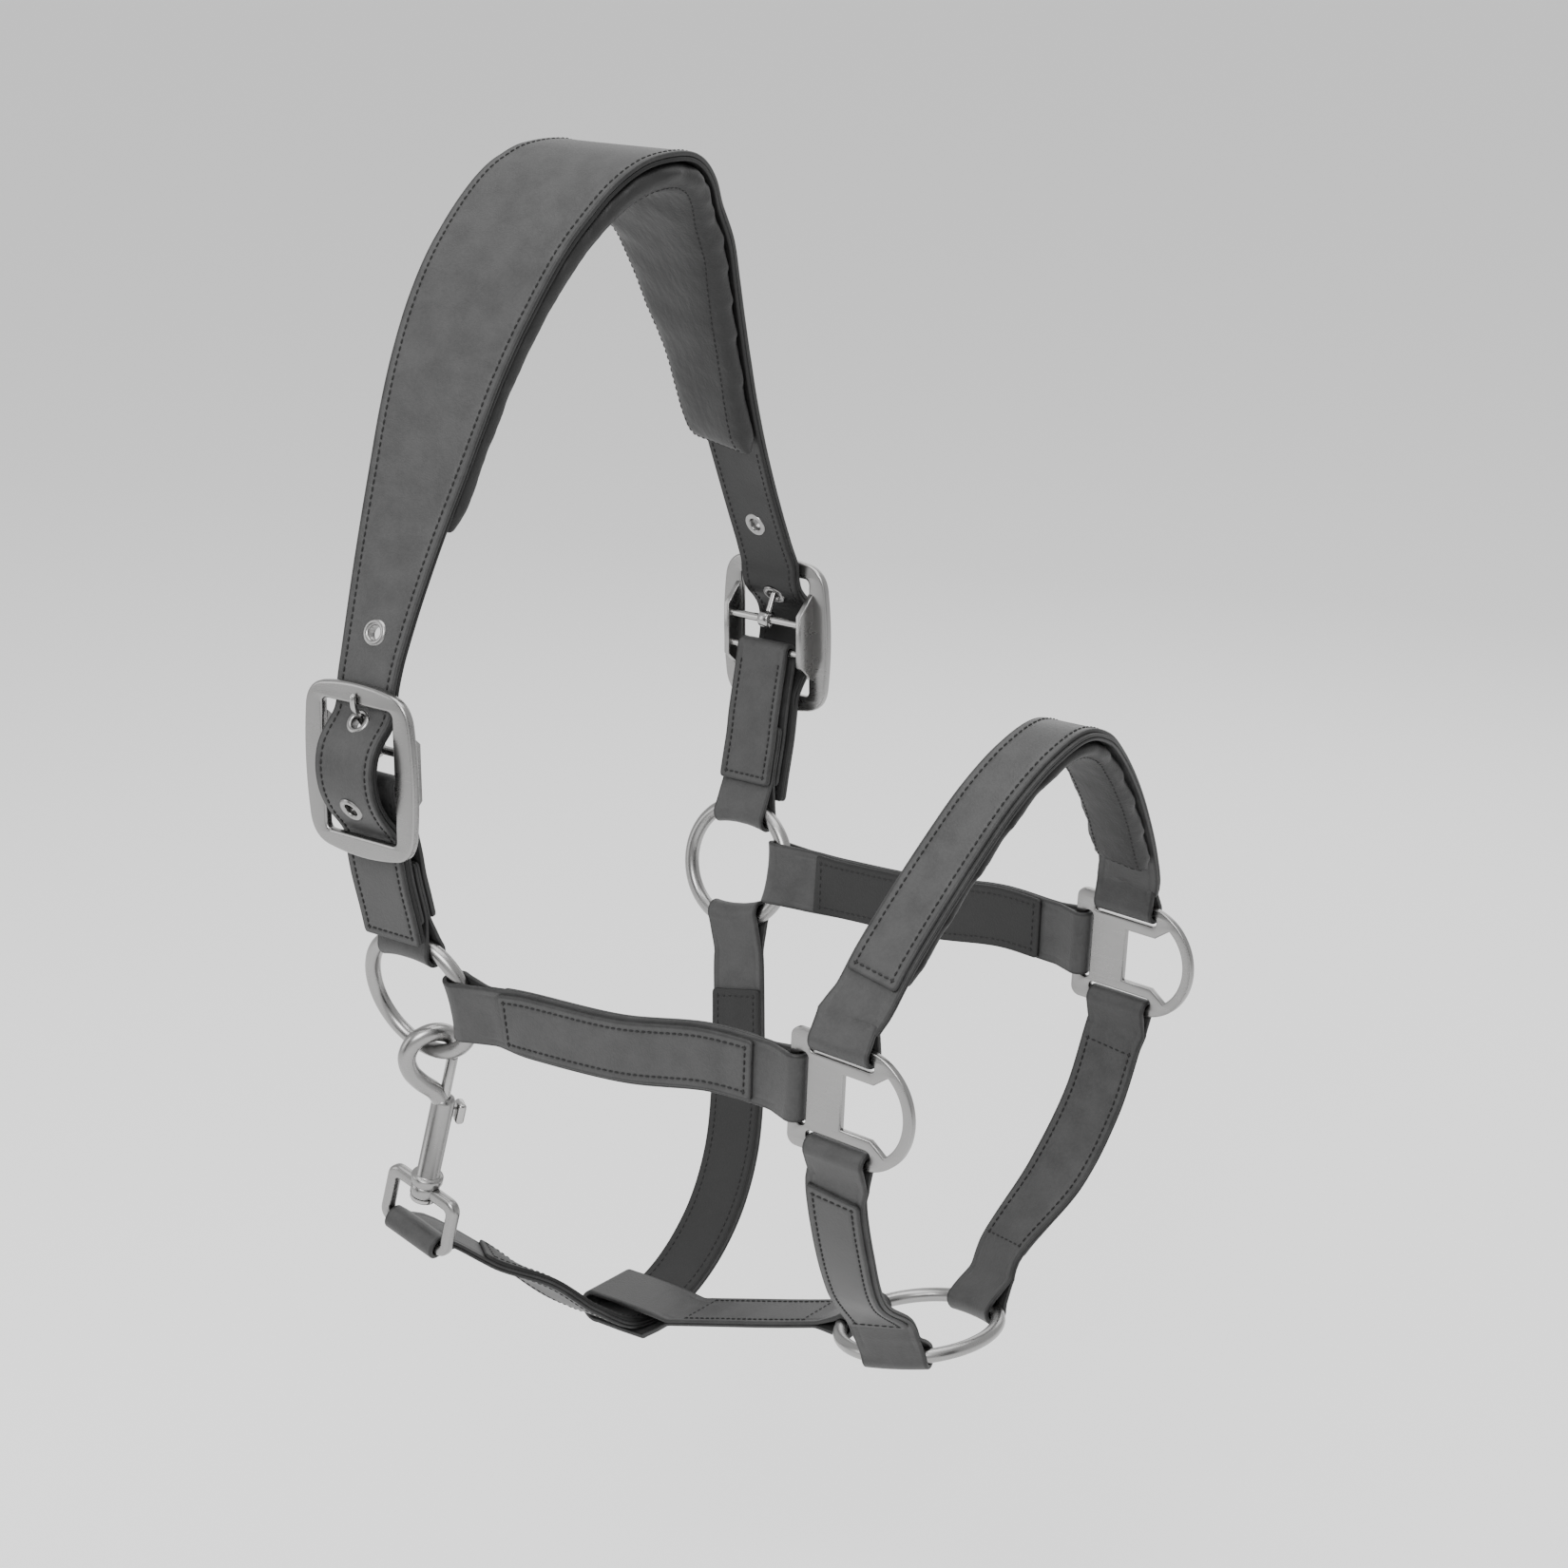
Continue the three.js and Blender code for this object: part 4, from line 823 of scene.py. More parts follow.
def headpiece_width(distance):
    share = distance / headpiece_run.length
    from_end = min(share, 1 - share)
    straight = max(0.0, (from_end - TAPER_SHARE) / (0.5 - TAPER_SHARE))
    smooth = straight * straight * (3 - 2 * straight)
    return BILLET_WIDTH + (POLL_WIDTH - BILLET_WIDTH) * (straight + smooth) / 2


whole = (0.0, headpiece_run.length)
headpiece_outer = flat_strap(
    "headpiece_leather", headpiece_run, *whole, headpiece_width, OUTER_LOW, BILLET_TOP, leather
)
headpiece_backing = flat_strap(
    "headpiece_backing_leather", headpiece_run, *whole, headpiece_width,
    BACKING_LOW, BACKING_HIGH + 0.2, lining,
)
front_rows = edge_rows(headpiece_run, *whole, headpiece_width, BILLET_TOP - STITCH_SINK)
rear_rows = [
    row
    for part in ((0.0, headpiece_run.length * 0.25), (headpiece_run.length * 0.75, headpiece_run.length))
    for row in edge_rows(headpiece_run, *part, headpiece_width, BACKING_LOW, (part[0] == 0, part[0] > 0))
]
headpiece_stitches = stitches("headpiece_stitches", front_rows + rear_rows, 3)
print("headpiece is", round(headpiece_run.length), "mm long")

# %% [markdown]
# ## Eyelets
# Each billet has three eyelets, one buckle hole apart. An eyelet is a turned flange and a short barrel that
# lines the hole. The holes are real: cylinders are cut out of both layers.

# %% Eyelets and their holes
EYELET_HOLE = 3.1
EYELET_FLANGE = 5.8
EYELET_PITCH = 38
PRONG_HOLE_UP = 20
RISING_SHARE = 0.4


def distance_at_height(run, z):
    """Distance from the run's start to where its rising part reaches a height."""
    rising = int(FINE * RISING_SHARE)
    return float(np.interp(z, run.line[:rising, 2], run.reached[:rising]))


prong_distance = distance_at_height(headpiece_run, BUCKLE_Z + PRONG_HOLE_UP)
eyelet_distances = [prong_distance + n * EYELET_PITCH for n in (-1, 0, 1)]
eyelet_distances += [headpiece_run.length - d for d in eyelet_distances]


def turned(profile, count=40):
    """Rings of a closed profile of (radius, height) turned about the third axis."""
    rings = []
    for k in range(count):
        a = 2 * math.pi * k / count
        rings.append(np.array([(r * math.cos(a), r * math.sin(a), h) for r, h in profile]))
    return rings


def frame_of(normal, near=X_AXIS):
    """A matrix whose third axis is the normal."""
    third = unit(normal)
    first = unit(near - third * (near @ third))
    return np.stack([first, np.cross(third, first), third], 1)


def placed(points, at, basis):
    return points @ basis.T + at


def eyelet_profile():
    """A rolled flange on the front, a barrel and a washer behind."""
    top, back = BILLET_TOP - 0.1, BACKING_LOW + 0.1
    roll = [
        (EYELET_HOLE + 1.35 + 1.35 * math.cos(a), top + 0.85 * math.sin(a))
        for a in np.linspace(math.pi, math.pi * 0.3, 9)
    ]
    return [
        (EYELET_HOLE, back), *roll, (EYELET_FLANGE - 0.2, top + 0.3), (EYELET_FLANGE, top),
        (EYELET_HOLE + 0.7, top - 0.2), (EYELET_HOLE + 0.7, back + 0.2), (EYELET_FLANGE, back),
        (EYELET_FLANGE - 0.3, back - 0.4), (EYELET_HOLE + 0.5, back - 0.5),
    ]


def cylinder(start, end, radius, count=32):
    """Points and faces of a rod."""
    basis = frame_of(end - start, Y_AXIS if abs(unit(end - start)[0]) > 0.9 else X_AXIS)
    a = np.linspace(0, 2 * math.pi, count, endpoint=False)
    circle = np.stack([np.cos(a) * radius, np.sin(a) * radius, 0 * a], 1)
    return skin([placed(circle, start, basis), placed(circle, end, basis)])


eyelet_stations = [tuple(v[0] for v in headpiece_run.stations([d])) for d in eyelet_distances]
eyelet_parts = []
for at, side, normal in eyelet_stations:
    rings = [placed(r, at, frame_of(normal, side)) for r in turned(eyelet_profile())]
    eyelet_parts.append(skin(rings, closed=True))
eyelets = gathered("eyelets", eyelet_parts, steel, 50)

punches = gathered(
    "punches",
    [cylinder(at - normal * 9, at + normal * 9, EYELET_HOLE + 0.5) for at, side, normal in eyelet_stations],
    leather,
)
for layer in (headpiece_outer, headpiece_backing):
    hole = layer.modifiers.new("holes", "BOOLEAN")
    hole.operation = "DIFFERENCE"
    hole.solver = "EXACT"
    hole.object = punches
    bpy.context.view_layer.update()
    seen = layer.evaluated_get(bpy.context.evaluated_depsgraph_get())
    cut = bpy.data.meshes.new_from_object(seen)
    layer.modifiers.remove(hole)
    layer.data = cut
bpy.data.objects.remove(punches)
print("eyelets at", [round(d) for d in eyelet_distances], "mm")

# %% [markdown]
# ## Pads
# The poll and the nose have padded linings: a bag of soft leather sewn to the strap and stuffed. A cloth
# simulation blows the bag up a little, held where it is sewn, so that it bulges between the seams as a
# stuffed piece does, and the leather wrinkles on its inside where the pad is bent.

# %% Blown-up pads
VOXEL = 4.0
PAD_GROWTH = 2.6
CLOTH_PRESSURE = 4.0
CLOTH_FRAMES = 20
RELAX_ROUNDS = 14


def pad_section(half, low, high, end_gap, puff):
    """A pillow section; it closes towards both ends."""
    close = min(1.0, math.sqrt(max(0.0, 1 - (1 - min(end_gap / puff, 1.0)) ** 2)) * 0.9 + 0.1)
    depth = (high - low) * close
    half = half - (1 - close) * 2.0
    seam, round_edge = min(depth / 2, 2.0) * 0.98, min(depth / 2, 5.5) * 0.98
    rows = []
    for x_sign, y_place, corner, start in (
        (1, high - seam, seam, 90), (1, high - depth + round_edge, round_edge, 0),
        (-1, high - depth + round_edge, round_edge, -90), (-1, high - seam, seam, 180),
    ):
        for k in range(6):
            a = math.radians(start - 18 * k)
            rows.append((x_sign * (half - corner) + corner * math.cos(a), y_place + corner * math.sin(a)))
    return np.array(rows)


def wrinkled(points, along_spacing, depth, seed):
    """Small offsets that change along the pad more than across it."""
    rng = np.random.default_rng(seed)
    phase = rng.uniform(0, 2 * math.pi, 6)
    pitch = rng.uniform(0.7, 1.6, 6)
    return depth * sum(np.sin(points / along_spacing * p + f) for p, f in zip(pitch, phase)) / 2.4


def pad(name, run, start, stop, width, high, low, fill, wrinkle):
    middle = np.arange(start + 5, stop - 4, 4)
    distances = np.array([start, start + 1, start + 2.5, *middle, stop - 2.5, stop - 1, stop])
    at, side, normal = run.stations(distances)
    rings = []
    for i, d in enumerate(distances):
        rows = pad_section(width(d) / 2, low, high, min(d - start, stop - d), 7.0)
        rings.append(at[i] + side[i] * rows[:, :1] + normal[i] * rows[:, 1:2])
    piece = new_piece(name, *skin(rings), pad_leather)
    form = piece.modifiers.new("even", "REMESH")
    form.mode = "VOXEL"
    form.voxel_size = VOXEL * MM
    piece = plain_mesh(piece, name)
    piece.data.materials.clear()
    piece.data.materials.append(pad_leather)
    rest = np.array([v.co for v in piece.data.vertices])
    nearest = [int(np.argmin(np.sum((run.line * MM - p) ** 2, axis=1))) for p in rest]
    out = np.sum((rest / MM - run.line[nearest]) * run.normals[nearest], axis=1)
    along = run.reached[nearest]
    held = piece.vertex_groups.new(name="sewn")
    for i in np.flatnonzero(out > high - 1.2):
        held.add([int(i)], 1.0, "REPLACE")
    cloth = piece.modifiers.new("stuffing", "CLOTH")
    settings = cloth.settings
    settings.use_pressure = True
    settings.uniform_pressure_force = CLOTH_PRESSURE
    settings.effector_weights.gravity = 0.0
    settings.vertex_group_mass = "sewn"
    settings.quality = 6
    cloth.point_cache.frame_end = CLOTH_FRAMES
    for f in range(1, CLOTH_FRAMES + 1):
        bpy.context.scene.frame_set(f)
    seen = piece.evaluated_get(bpy.context.evaluated_depsgraph_get())
    moved = bpy.data.meshes.new_from_object(seen)
    blown = np.array([v.co for v in moved.vertices])
    piece.modifiers.clear()
    bpy.context.scene.frame_set(1)
    step = blown - rest
    length = np.linalg.norm(step, axis=1)
    free = np.clip((high - 0.8 - out) / 5, 0, 1)
    free = free * free * (3 - 2 * free)
    keep = free * np.minimum(1.0, PAD_GROWTH * MM / np.maximum(length, 1e-9))
    rest = rest + step * keep[:, None]
    print(name, "grew up to", round(float((length * keep).max() / MM), 2), "mm")
    beside = np.abs(np.sum((rest / MM - run.line[nearest]) * run.sides[nearest], axis=1))
    halves = np.array([width(d) / 2 for d in along])
    inner = np.clip((high - 3.0 - out) / 3.0, 0, 1) * np.clip((halves - beside - 3) / 7, 0, 1)
    waves = wrinkled(along + beside * 0.4, 4.5, wrinkle, 5) * inner
    rest = rest + run.normals[nearest] * (waves * MM)[:, None]
    for v, co in zip(piece.data.vertices, rest):
        v.co = co
    relax = piece.modifiers.new("relax", "SMOOTH")
    relax.factor = 0.5
    relax.iterations = RELAX_ROUNDS
    smooth = piece.modifiers.new("smooth", "SUBSURF")
    smooth.levels = smooth.render_levels = 1
    piece = plain_mesh(piece, name)
    piece.data.polygons.foreach_set("use_smooth", [True] * len(piece.data.polygons))
    fix_normals(piece.data)
    set_values(piece, "inset", [9.0] * len(piece.data.vertices))
    return piece


def pad_rows(piece, run, start, stop, width, low, inset=5.0):
    """Stitch rows on a pad's inner face, laid on its real surface."""
    rows = []
    for row in edge_rows(run, start, stop, width, low, inset=inset):
        laid = []
        for p in row:
            nearest = int(np.argmin(np.sum((run.line - p) ** 2, axis=1)))
            normal = run.normals[nearest]
            hit, place, *_ = piece.ray_cast(Vector((p - normal * 12) * MM), Vector(normal))
            if hit:
                laid.append(np.array(place) / MM)
        if len(laid) > 2:
            rows.append(laid)
    return rows


PAD_START, PAD_STOP = 0.249, 0.751
pad_high = BACKING_LOW + 0.3
headpiece_pad = pad(
    "headpiece_pad", headpiece_run, PAD_START * headpiece_run.length, PAD_STOP * headpiece_run.length,
    lambda d: headpiece_width(d) + 2 * 2.4, pad_high, pad_high - 12, 0.7, 0.34,
)
headpiece_pad_stitches = stitches("headpiece_pad_stitches", pad_rows(
    headpiece_pad, headpiece_run, PAD_START * headpiece_run.length, PAD_STOP * headpiece_run.length,
    headpiece_width, pad_high - 11.5,
), 4)
print("pad has", len(headpiece_pad.data.vertices), "vertices")

# %% [markdown]
# ## Flat metal plates
# The buckle frames and the nose fittings are stamped or cast plates with rounded edges. A filled 2-D curve
# with a bevel makes such a plate, holes included, with even rounding on each edge.

# %% Plates from outlines


def plate(outlines, thickness, bevel, at, along, up):
    """Points and faces of a plate; the first outline is its rim and the others are holes."""
    drawing = bpy.data.curves.new("outline", "CURVE")
    drawing.dimensions = "2D"
    drawing.fill_mode = "BOTH"
    drawing.extrude = thickness / 2 - bevel
    drawing.bevel_depth = bevel
    drawing.bevel_resolution = 3
    drawing.offset = -bevel
    for outline in outlines:
        spline_2d = drawing.splines.new("POLY")
        spline_2d.points.add(len(outline) - 1)
        for point, (x, y) in zip(spline_2d.points, outline):
            point.co = (x, y, 0, 1)
        spline_2d.use_cyclic_u = True
    shape = bpy.data.objects.new("outline", drawing)
    bpy.context.scene.collection.objects.link(shape)
    bpy.context.view_layer.update()
    mesh = bpy.data.meshes.new_from_object(shape.evaluated_get(bpy.context.evaluated_depsgraph_get()))
    bpy.data.objects.remove(shape)
    form = bmesh.new()
    form.from_mesh(mesh)
    bmesh.ops.remove_doubles(form, verts=form.verts, dist=1e-4)
    form.verts.ensure_lookup_table()
    flat = np.array([v.co for v in form.verts])
    faces = [tuple(v.index for v in f.verts) for f in form.faces]
    form.free()
    bpy.data.meshes.remove(mesh)
    basis = np.stack([unit(along), unit(up), unit(np.cross(along, up))], 1)
    return flat @ basis.T + at, faces


def rounded_rectangle(width, height, radius, x=0.0, y=0.0, count=9):
    points = []
    for cx, cy, start in (
        (width / 2 - radius, height / 2 - radius, 0), (radius - width / 2, height / 2 - radius, 90),
        (radius - width / 2, radius - height / 2, 180), (width / 2 - radius, radius - height / 2, 270),
    ):
        for k in range(count):
            a = math.radians(start + 90 * k / (count - 1))
            points.append((x + cx + radius * math.cos(a), y + cy + radius * math.sin(a)))
    return points


def quadratic(start, control, end, count=14):
    t = np.linspace(0, 1, count, endpoint=False)[:, None]
    start, control, end = (np.array(p, float) for p in (start, control, end))
    return (start * (1 - t) ** 2 + 2 * control * t * (1 - t) + end * t**2).tolist()


def tube(points, radii, count=20, near=None):
    """Points and faces of a round bar along a row of points, with a radius at each point."""
    points = np.asarray(points, float)
    tangents = normalised(np.gradient(points, axis=0))
    first = near if near is not None else (Z_AXIS if abs(tangents[0][2]) < 0.9 else X_AXIS)
    rings = []
    a = np.linspace(0, 2 * math.pi, count, endpoint=False)
    for p, tangent, r in zip(points, tangents, np.broadcast_to(radii, len(points))):
        first = unit(first - tangent * (first @ tangent))
        second = np.cross(tangent, first)
        rings.append(p + (np.cos(a)[:, None] * first + np.sin(a)[:, None] * second) * r)
    return skin(rings)


print("plates ready")

# %% [markdown]
# ## Buckles
# A headcollar buckle is a cast frame with a slightly bowed, barrel-shaped outline. Two bars run behind its
# window: the prong turns on the upper one and the cheek strap folds round the lower one.

# %% Buckle frames, bars and prongs
OPEN_WIDTH = 40
OPEN_HEIGHT = 57
BAND = 11
END_BAND = 9
BUCKLE_THICK = 4
BUCKLE_BEVEL = 1.25
BAR_RADIUS = 1.9
BAR_DEPTH = 8
TONGUE_BAR_RISE = 8
STRAP_BAR_DROP = 6.5
EAR_THICK = 3
PRONG_THICK = 2.3
PRONG_WIDTH = 2.8


def barrel_outline():
    """The frame's rim: long sides and ends that bow outwards, with wide corners."""
    x, y = OPEN_WIDTH / 2 + BAND, OPEN_HEIGHT / 2 + END_BAND
    corner, bow = 13, 1.6
    quarter = [
        ((x - 1, -y + corner + 2), (x + bow, 0), (x - 1, y - corner - 2)),
        ((x - 1, y - corner - 2), (x - 2, y - 3), (x - corner, y - bow)),
        ((x - corner, y - bow), (0, y + bow), (-x + corner, y - bow)),
        ((-x + corner, y - bow), (-x + 2, y - 3), (-x + 1, y - corner - 2)),
        ((-x + 1, y - corner - 2), (-x - bow, 0), (-x + 1, -y + corner + 2)),
        ((-x + 1, -y + corner + 2), (-x + 2, -y + 3), (-x + corner, -y + bow)),
        ((-x + corner, -y + bow), (0, -y - bow), (x - corner, -y + bow)),
        ((x - corner, -y + bow), (x - 2, -y + 3), (x - 1, -y + corner + 2)),
    ]
    return [p for piece in quarter for p in quadratic(*piece)]


def make_buckle(side, name):
    out = vec(0, side, 0)

    def at(x, outside, up):
        return vec(HEAD_X + x, side * (FRAME_Y + outside), BUCKLE_Z + up)

    window = rounded_rectangle(OPEN_WIDTH, OPEN_HEIGHT, 2.5)
    rim = plate([barrel_outline(), window], BUCKLE_THICK, BUCKLE_BEVEL, at(0, 0, 0), X_AXIS, Z_AXIS)
    ear_x = OPEN_WIDTH / 2 + EAR_THICK / 2
    ear = [(-1, -20), (-1, 22), (-2, 22), (-BAR_DEPTH - 3.6, 13), (-BAR_DEPTH - 3.6, -11.5), (-2, -20)]
    ears = [plate([ear], EAR_THICK, 0.5, at(x, 0, 0), out, Z_AXIS) for x in (-ear_x, ear_x)]
    frame_piece = gathered(name + "_buckle", [rim, *ears], steel, 60)
    end = OPEN_WIDTH / 2 + EAR_THICK - 0.2
    rises = (TONGUE_BAR_RISE, -STRAP_BAR_DROP)
    bars = gathered(
        name + "_bars",
        [cylinder(at(-end, -BAR_DEPTH, up), at(end, -BAR_DEPTH, up), BAR_RADIUS) for up in rises],
        rod_steel,
    )
    rest = BUCKLE_THICK / 2 + 0.2 + PRONG_THICK / 2
    top = OPEN_HEIGHT / 2
    route = spline(
        np.array([
            (-BAR_DEPTH, TONGUE_BAR_RISE, 0), (-4.9, 14, 0), (-1.0, 21.5, 0), (rest - 0.6, top - 1.5, 0),
            (rest, top + 2, 0), (rest, top + 5.4, 0),
        ]),
        np.linspace(0, 1, 40),
    )
    path = [at(0, x, y) for x, y, _ in route]
    radii = np.full(40, 1.0)
    radii[-6:] = (0.97, 0.92, 0.84, 0.70, 0.48, 0.16)
    sections, tangents = [], normalised(np.gradient(np.array(path), axis=0))
    a = np.linspace(0, 2 * math.pi, 24, endpoint=False)
    round_box = [np.sign(turn) * np.abs(turn) ** 0.7 for turn in (np.cos(a), np.sin(a))]
    box = np.stack(round_box, 1)
    for p, tangent, r in zip(path, tangents, radii):
        facing = np.cross(X_AXIS, tangent)
        sections.append(
            p + X_AXIS * (box[:, :1] * PRONG_WIDTH / 2 * r) + facing * (box[:, 1:] * PRONG_THICK / 2 * r)
        )
    sleeve_end = PRONG_WIDTH / 2 + 1.5
    lower = [
        (BAR_RADIUS + 0.3, -sleeve_end), (BAR_RADIUS + 1.6, -sleeve_end),
        (BAR_RADIUS + 2.0, -sleeve_end + 0.5),
    ]
    wall = lower + [(radius, -height) for radius, height in reversed(lower)]
    basis = np.stack([Y_AXIS, Z_AXIS, X_AXIS], 1)
    foot = at(0, -BAR_DEPTH, TONGUE_BAR_RISE)
    collar = skin([placed(r, foot, basis) for r in turned(wall, 28)], closed=True)
    prong = gathered(name + "_prong", [skin(sections), collar], rod_steel, 60)
    return frame_piece, bars, prong


buckles = {name: make_buckle(side, name) for name, side in SIDES.items()}
print("buckle frames", [len(b[0].data.polygons) for b in buckles.values()], "faces")

# %% [markdown]
# ## Rings
# A ring is drawn wire, bent round and welded, so it is a plain torus. Each one keeps its place from the CAD
# source: the side rings hang almost upright and the chin ring lies almost flat.

# %% Side rings and the chin ring


def ring_up(side):
    return vec(0, side * math.sin(SIDE_RING_TILT), math.cos(SIDE_RING_TILT))


def side_ring_centre(side):
    return vec(HEAD_X, side * 108, -329)


def ring_point(side, degrees):
    a = math.radians(degrees)
    return side_ring_centre(side) + (X_AXIS * math.cos(a) + ring_up(side) * math.sin(a)) * SIDE_RING_RADIUS


CHIN_AHEAD = vec(math.cos(CHIN_RING_TILT), 0, math.sin(CHIN_RING_TILT))


def chin_ring_point(ahead, beside):
    return CHIN_RING_CENTRE + CHIN_AHEAD * ahead + Y_AXIS * beside


def torus(centre, first, second, radius, wire, count=96, sides=24):
    rings = []
    a = np.linspace(0, 2 * math.pi, sides, endpoint=False)[:, None]
    third = np.cross(first, second)
    for turn in np.linspace(0, 2 * math.pi, count, endpoint=False):
        away = first * math.cos(turn) + second * math.sin(turn)
        rings.append(centre + away * (radius + wire * np.cos(a)) + third * wire * np.sin(a))
    return skin(rings, closed=True)


side_rings = {
    name: gathered(
        name + "_ring",
        [torus(side_ring_centre(side), X_AXIS, ring_up(side), SIDE_RING_RADIUS, SIDE_RING_WIRE)],
        steel, 180,
    )
    for name, side in SIDES.items()
}
chin_ring = gathered(
    "chin_ring_wire",
    [torus(CHIN_RING_CENTRE, CHIN_AHEAD, Y_AXIS, CHIN_RING_RADIUS, CHIN_RING_WIRE)],
    steel, 180,
)
print("side rings", round(2 * (SIDE_RING_RADIUS + SIDE_RING_WIRE)), "mm outside")
print("chin ring", round(2 * (CHIN_RING_RADIUS + CHIN_RING_WIRE)), "mm outside")

# %% [markdown]
# ## Nose fittings
# A flat plate joins three straps on each side of the nose. It has a slot at the top, one at the bottom and
# one at the rear for the folded straps, and a D-shaped window in front.

# %% Fitting plates
FITTING_WINDOW_FRONT = 4
FITTING_BOW = 38
FITTING_BOW_BAND = 4.8
FITTING_ARM = 5
FITTING_AHEAD = vec(math.cos(FITTING_LEAN), 0, -math.sin(FITTING_LEAN))
FITTING_UP = vec(math.sin(FITTING_LEAN), 0, math.cos(FITTING_LEAN))
FITTING_BAR_UP = FITTING_HALF_HEIGHT - FITTING_BAR / 2
FITTING_BAR_EYE = math.hypot(FITTING_BAR, FITTING_THICK) / 2


def fitting_point(side, ahead, up):
    return mirrored(vec(200, 102, -322) + FITTING_AHEAD * ahead + FITTING_UP * up, side)


def fitting_outlines():
    rear, top, corner = -FITTING_REAR, FITTING_HALF_HEIGHT, 4.5
    bow_start = FITTING_BOW - top * 0.94
    reach = FITTING_BOW - bow_start
    half_turn = np.linspace(-math.pi / 2, math.pi / 2, 60)
    bow = [(bow_start + reach * math.cos(a), top * math.sin(a)) for a in half_turn]
    rim = bow + [
        (rear + corner + corner * math.cos(a), sign * (top - corner) + corner * math.sin(a))
        for sign, start in ((1, 90), (-1, 180))
        for a in np.radians(np.linspace(start, start + 90, 9))
    ]
    length = STRAP_WIDTH + 2
    slot_up = top - FITTING_BAR - FITTING_SLOT / 2
    half = FITTING_SLOT / 2
    slots = [
        rounded_rectangle(length, FITTING_SLOT, half - 0.1, FITTING_SLOT_X, slot_up),
        rounded_rectangle(length, FITTING_SLOT, half - 0.1, FITTING_SLOT_X, -slot_up),
        rounded_rectangle(FITTING_SLOT, length, half - 0.1, FITTING_BAR + half + rear, 0),
    ]
    arm_end = FITTING_SLOT_X + length / 2
    inner = slot_up - half - FITTING_ARM
    inside_x, inside_y = reach - FITTING_BOW_BAND, top - FITTING_BOW_BAND
    window = [(FITTING_WINDOW_FRONT, inner), (FITTING_WINDOW_FRONT, -inner), (arm_end, -inner)]
    inside_turn = np.linspace(-0.95, 0.95, 30)
    window += [(bow_start + inside_x * math.cos(a), inside_y * math.sin(a)) for a in inside_turn]
    window += [(arm_end, inner)]
    return [rim, *slots, window]


fittings = {
    name: gathered(
        name + "_fitting",
        [plate(
            fitting_outlines(), FITTING_THICK, 0.7, fitting_point(side, 0, 0), FITTING_AHEAD, FITTING_UP,
        )],
        steel, 50,
    )
    for name, side in SIDES.items()
}
print("fitting faces", len(fittings["right"].data.polygons))

# %% [markdown]
# ## Cheek straps and ring tabs
# Behind the billet's tail the cheek strap goes up, round the buckle's lower bar and down again. Between its
# two legs is the tab that holds the side ring.

# %% Cheek straps and tabs


def make_cheek(side, name):
    out = vec(0, side, 0)
    top = BILLET_WEAVE[-1]
    tail_points = [(FRAME_Y + top[0], BUCKLE_Z + top[1]), *TAIL]
    tail_run = Run([vec(HEAD_X, side * y, z) for y, z in tail_points], X_AXIS, out)
    tab_thick = 2 * LEATHER
    outer_leg = BACKING_LOW - 3 * GAP - LEATHER / 2
    tab_middle = outer_leg - LEATHER / 2 - GAP - tab_thick / 2
    inner_leg = tab_middle - tab_thick / 2 - GAP - LEATHER / 2
    bar = vec(HEAD_X, side * (FRAME_Y - BAR_DEPTH), BUCKLE_Z - STRAP_BAR_DROP)
    wrap = BAR_RADIUS + GAP + LEATHER / 2

    def along_tail(step, offset, steps=12):
        return tail_run.place(tail_run.length * step / steps, 0, offset)[0]

    def round_bar(degrees):
        a = math.radians(degrees)
        return bar + (out * math.cos(a) + Z_AXIS * math.sin(a)) * wrap

    inner = [along_tail(i, inner_leg) for i in (10, 7, 4, 1)]
    outer = [along_tail(i, outer_leg) for i in (1, 4, 7, 10)]
    hairpin = Run([*inner, *(round_bar(d) for d in (195, 150, 105, 60, 15)), *outer], X_AXIS, -out)
    full = (0.0, hairpin.length)
    cheek = flat_strap(
        name + "_cheek_leather", hairpin, *full, STRAP_WIDTH, -LEATHER / 2, LEATHER / 2, leather,
    )
    face = LEATHER / 2 - STITCH_SINK
    rows = edge_rows(hairpin, hairpin.length * 0.56, hairpin.length, STRAP_WIDTH, face, (False, True))
    rows += edge_rows(hairpin, 0, hairpin.length * 0.44, STRAP_WIDTH, face, (True, False))
    sewing = stitches(name + "_cheek_stitches", rows, 5)
    tab_run = Run([*(along_tail(i, tab_middle) for i in (2, 5, 8)), ring_point(side, 90)], X_AXIS, out)
    wire = Fold(SIDE_RING_WIRE, SIDE_RING_RADIUS - SIDE_RING_WIRE, -ring_up(side), RING_GAP)
    tab = folded_strap(name + "_tab_leather", tab_run, (None, wire), leather)
    fold_start = tab_run.length - wire.lead
    tab_rows = edge_rows(
        tab_run, fold_start - 16, fold_start + 6, STRAP_WIDTH, LAYER - STITCH_SINK, (False, False),
    )
    tab_sewing = stitches(name + "_tab_stitches", tab_rows, 6)
    return cheek, sewing, tab, tab_sewing


cheeks = {name: make_cheek(side, name) for name, side in SIDES.items()}
print("cheek straps made")

# %% [markdown]
# ## Side straps, noseband and chin straps
# These straps carry a raised strip on their face: a second, narrower layer sewn down all round. It stiffens
# the strap and gives its edge a dark double line. The side straps also have a thin lining behind.

# %% Straps with panels
PANEL_NARROWER = 3.0
LINING_WIDTH = STRAP_WIDTH - 1
LINING_LOW = -BASE / 2 - GAP - PANEL + 0.1
LINING_HIGH = -BASE / 2 + 0.2


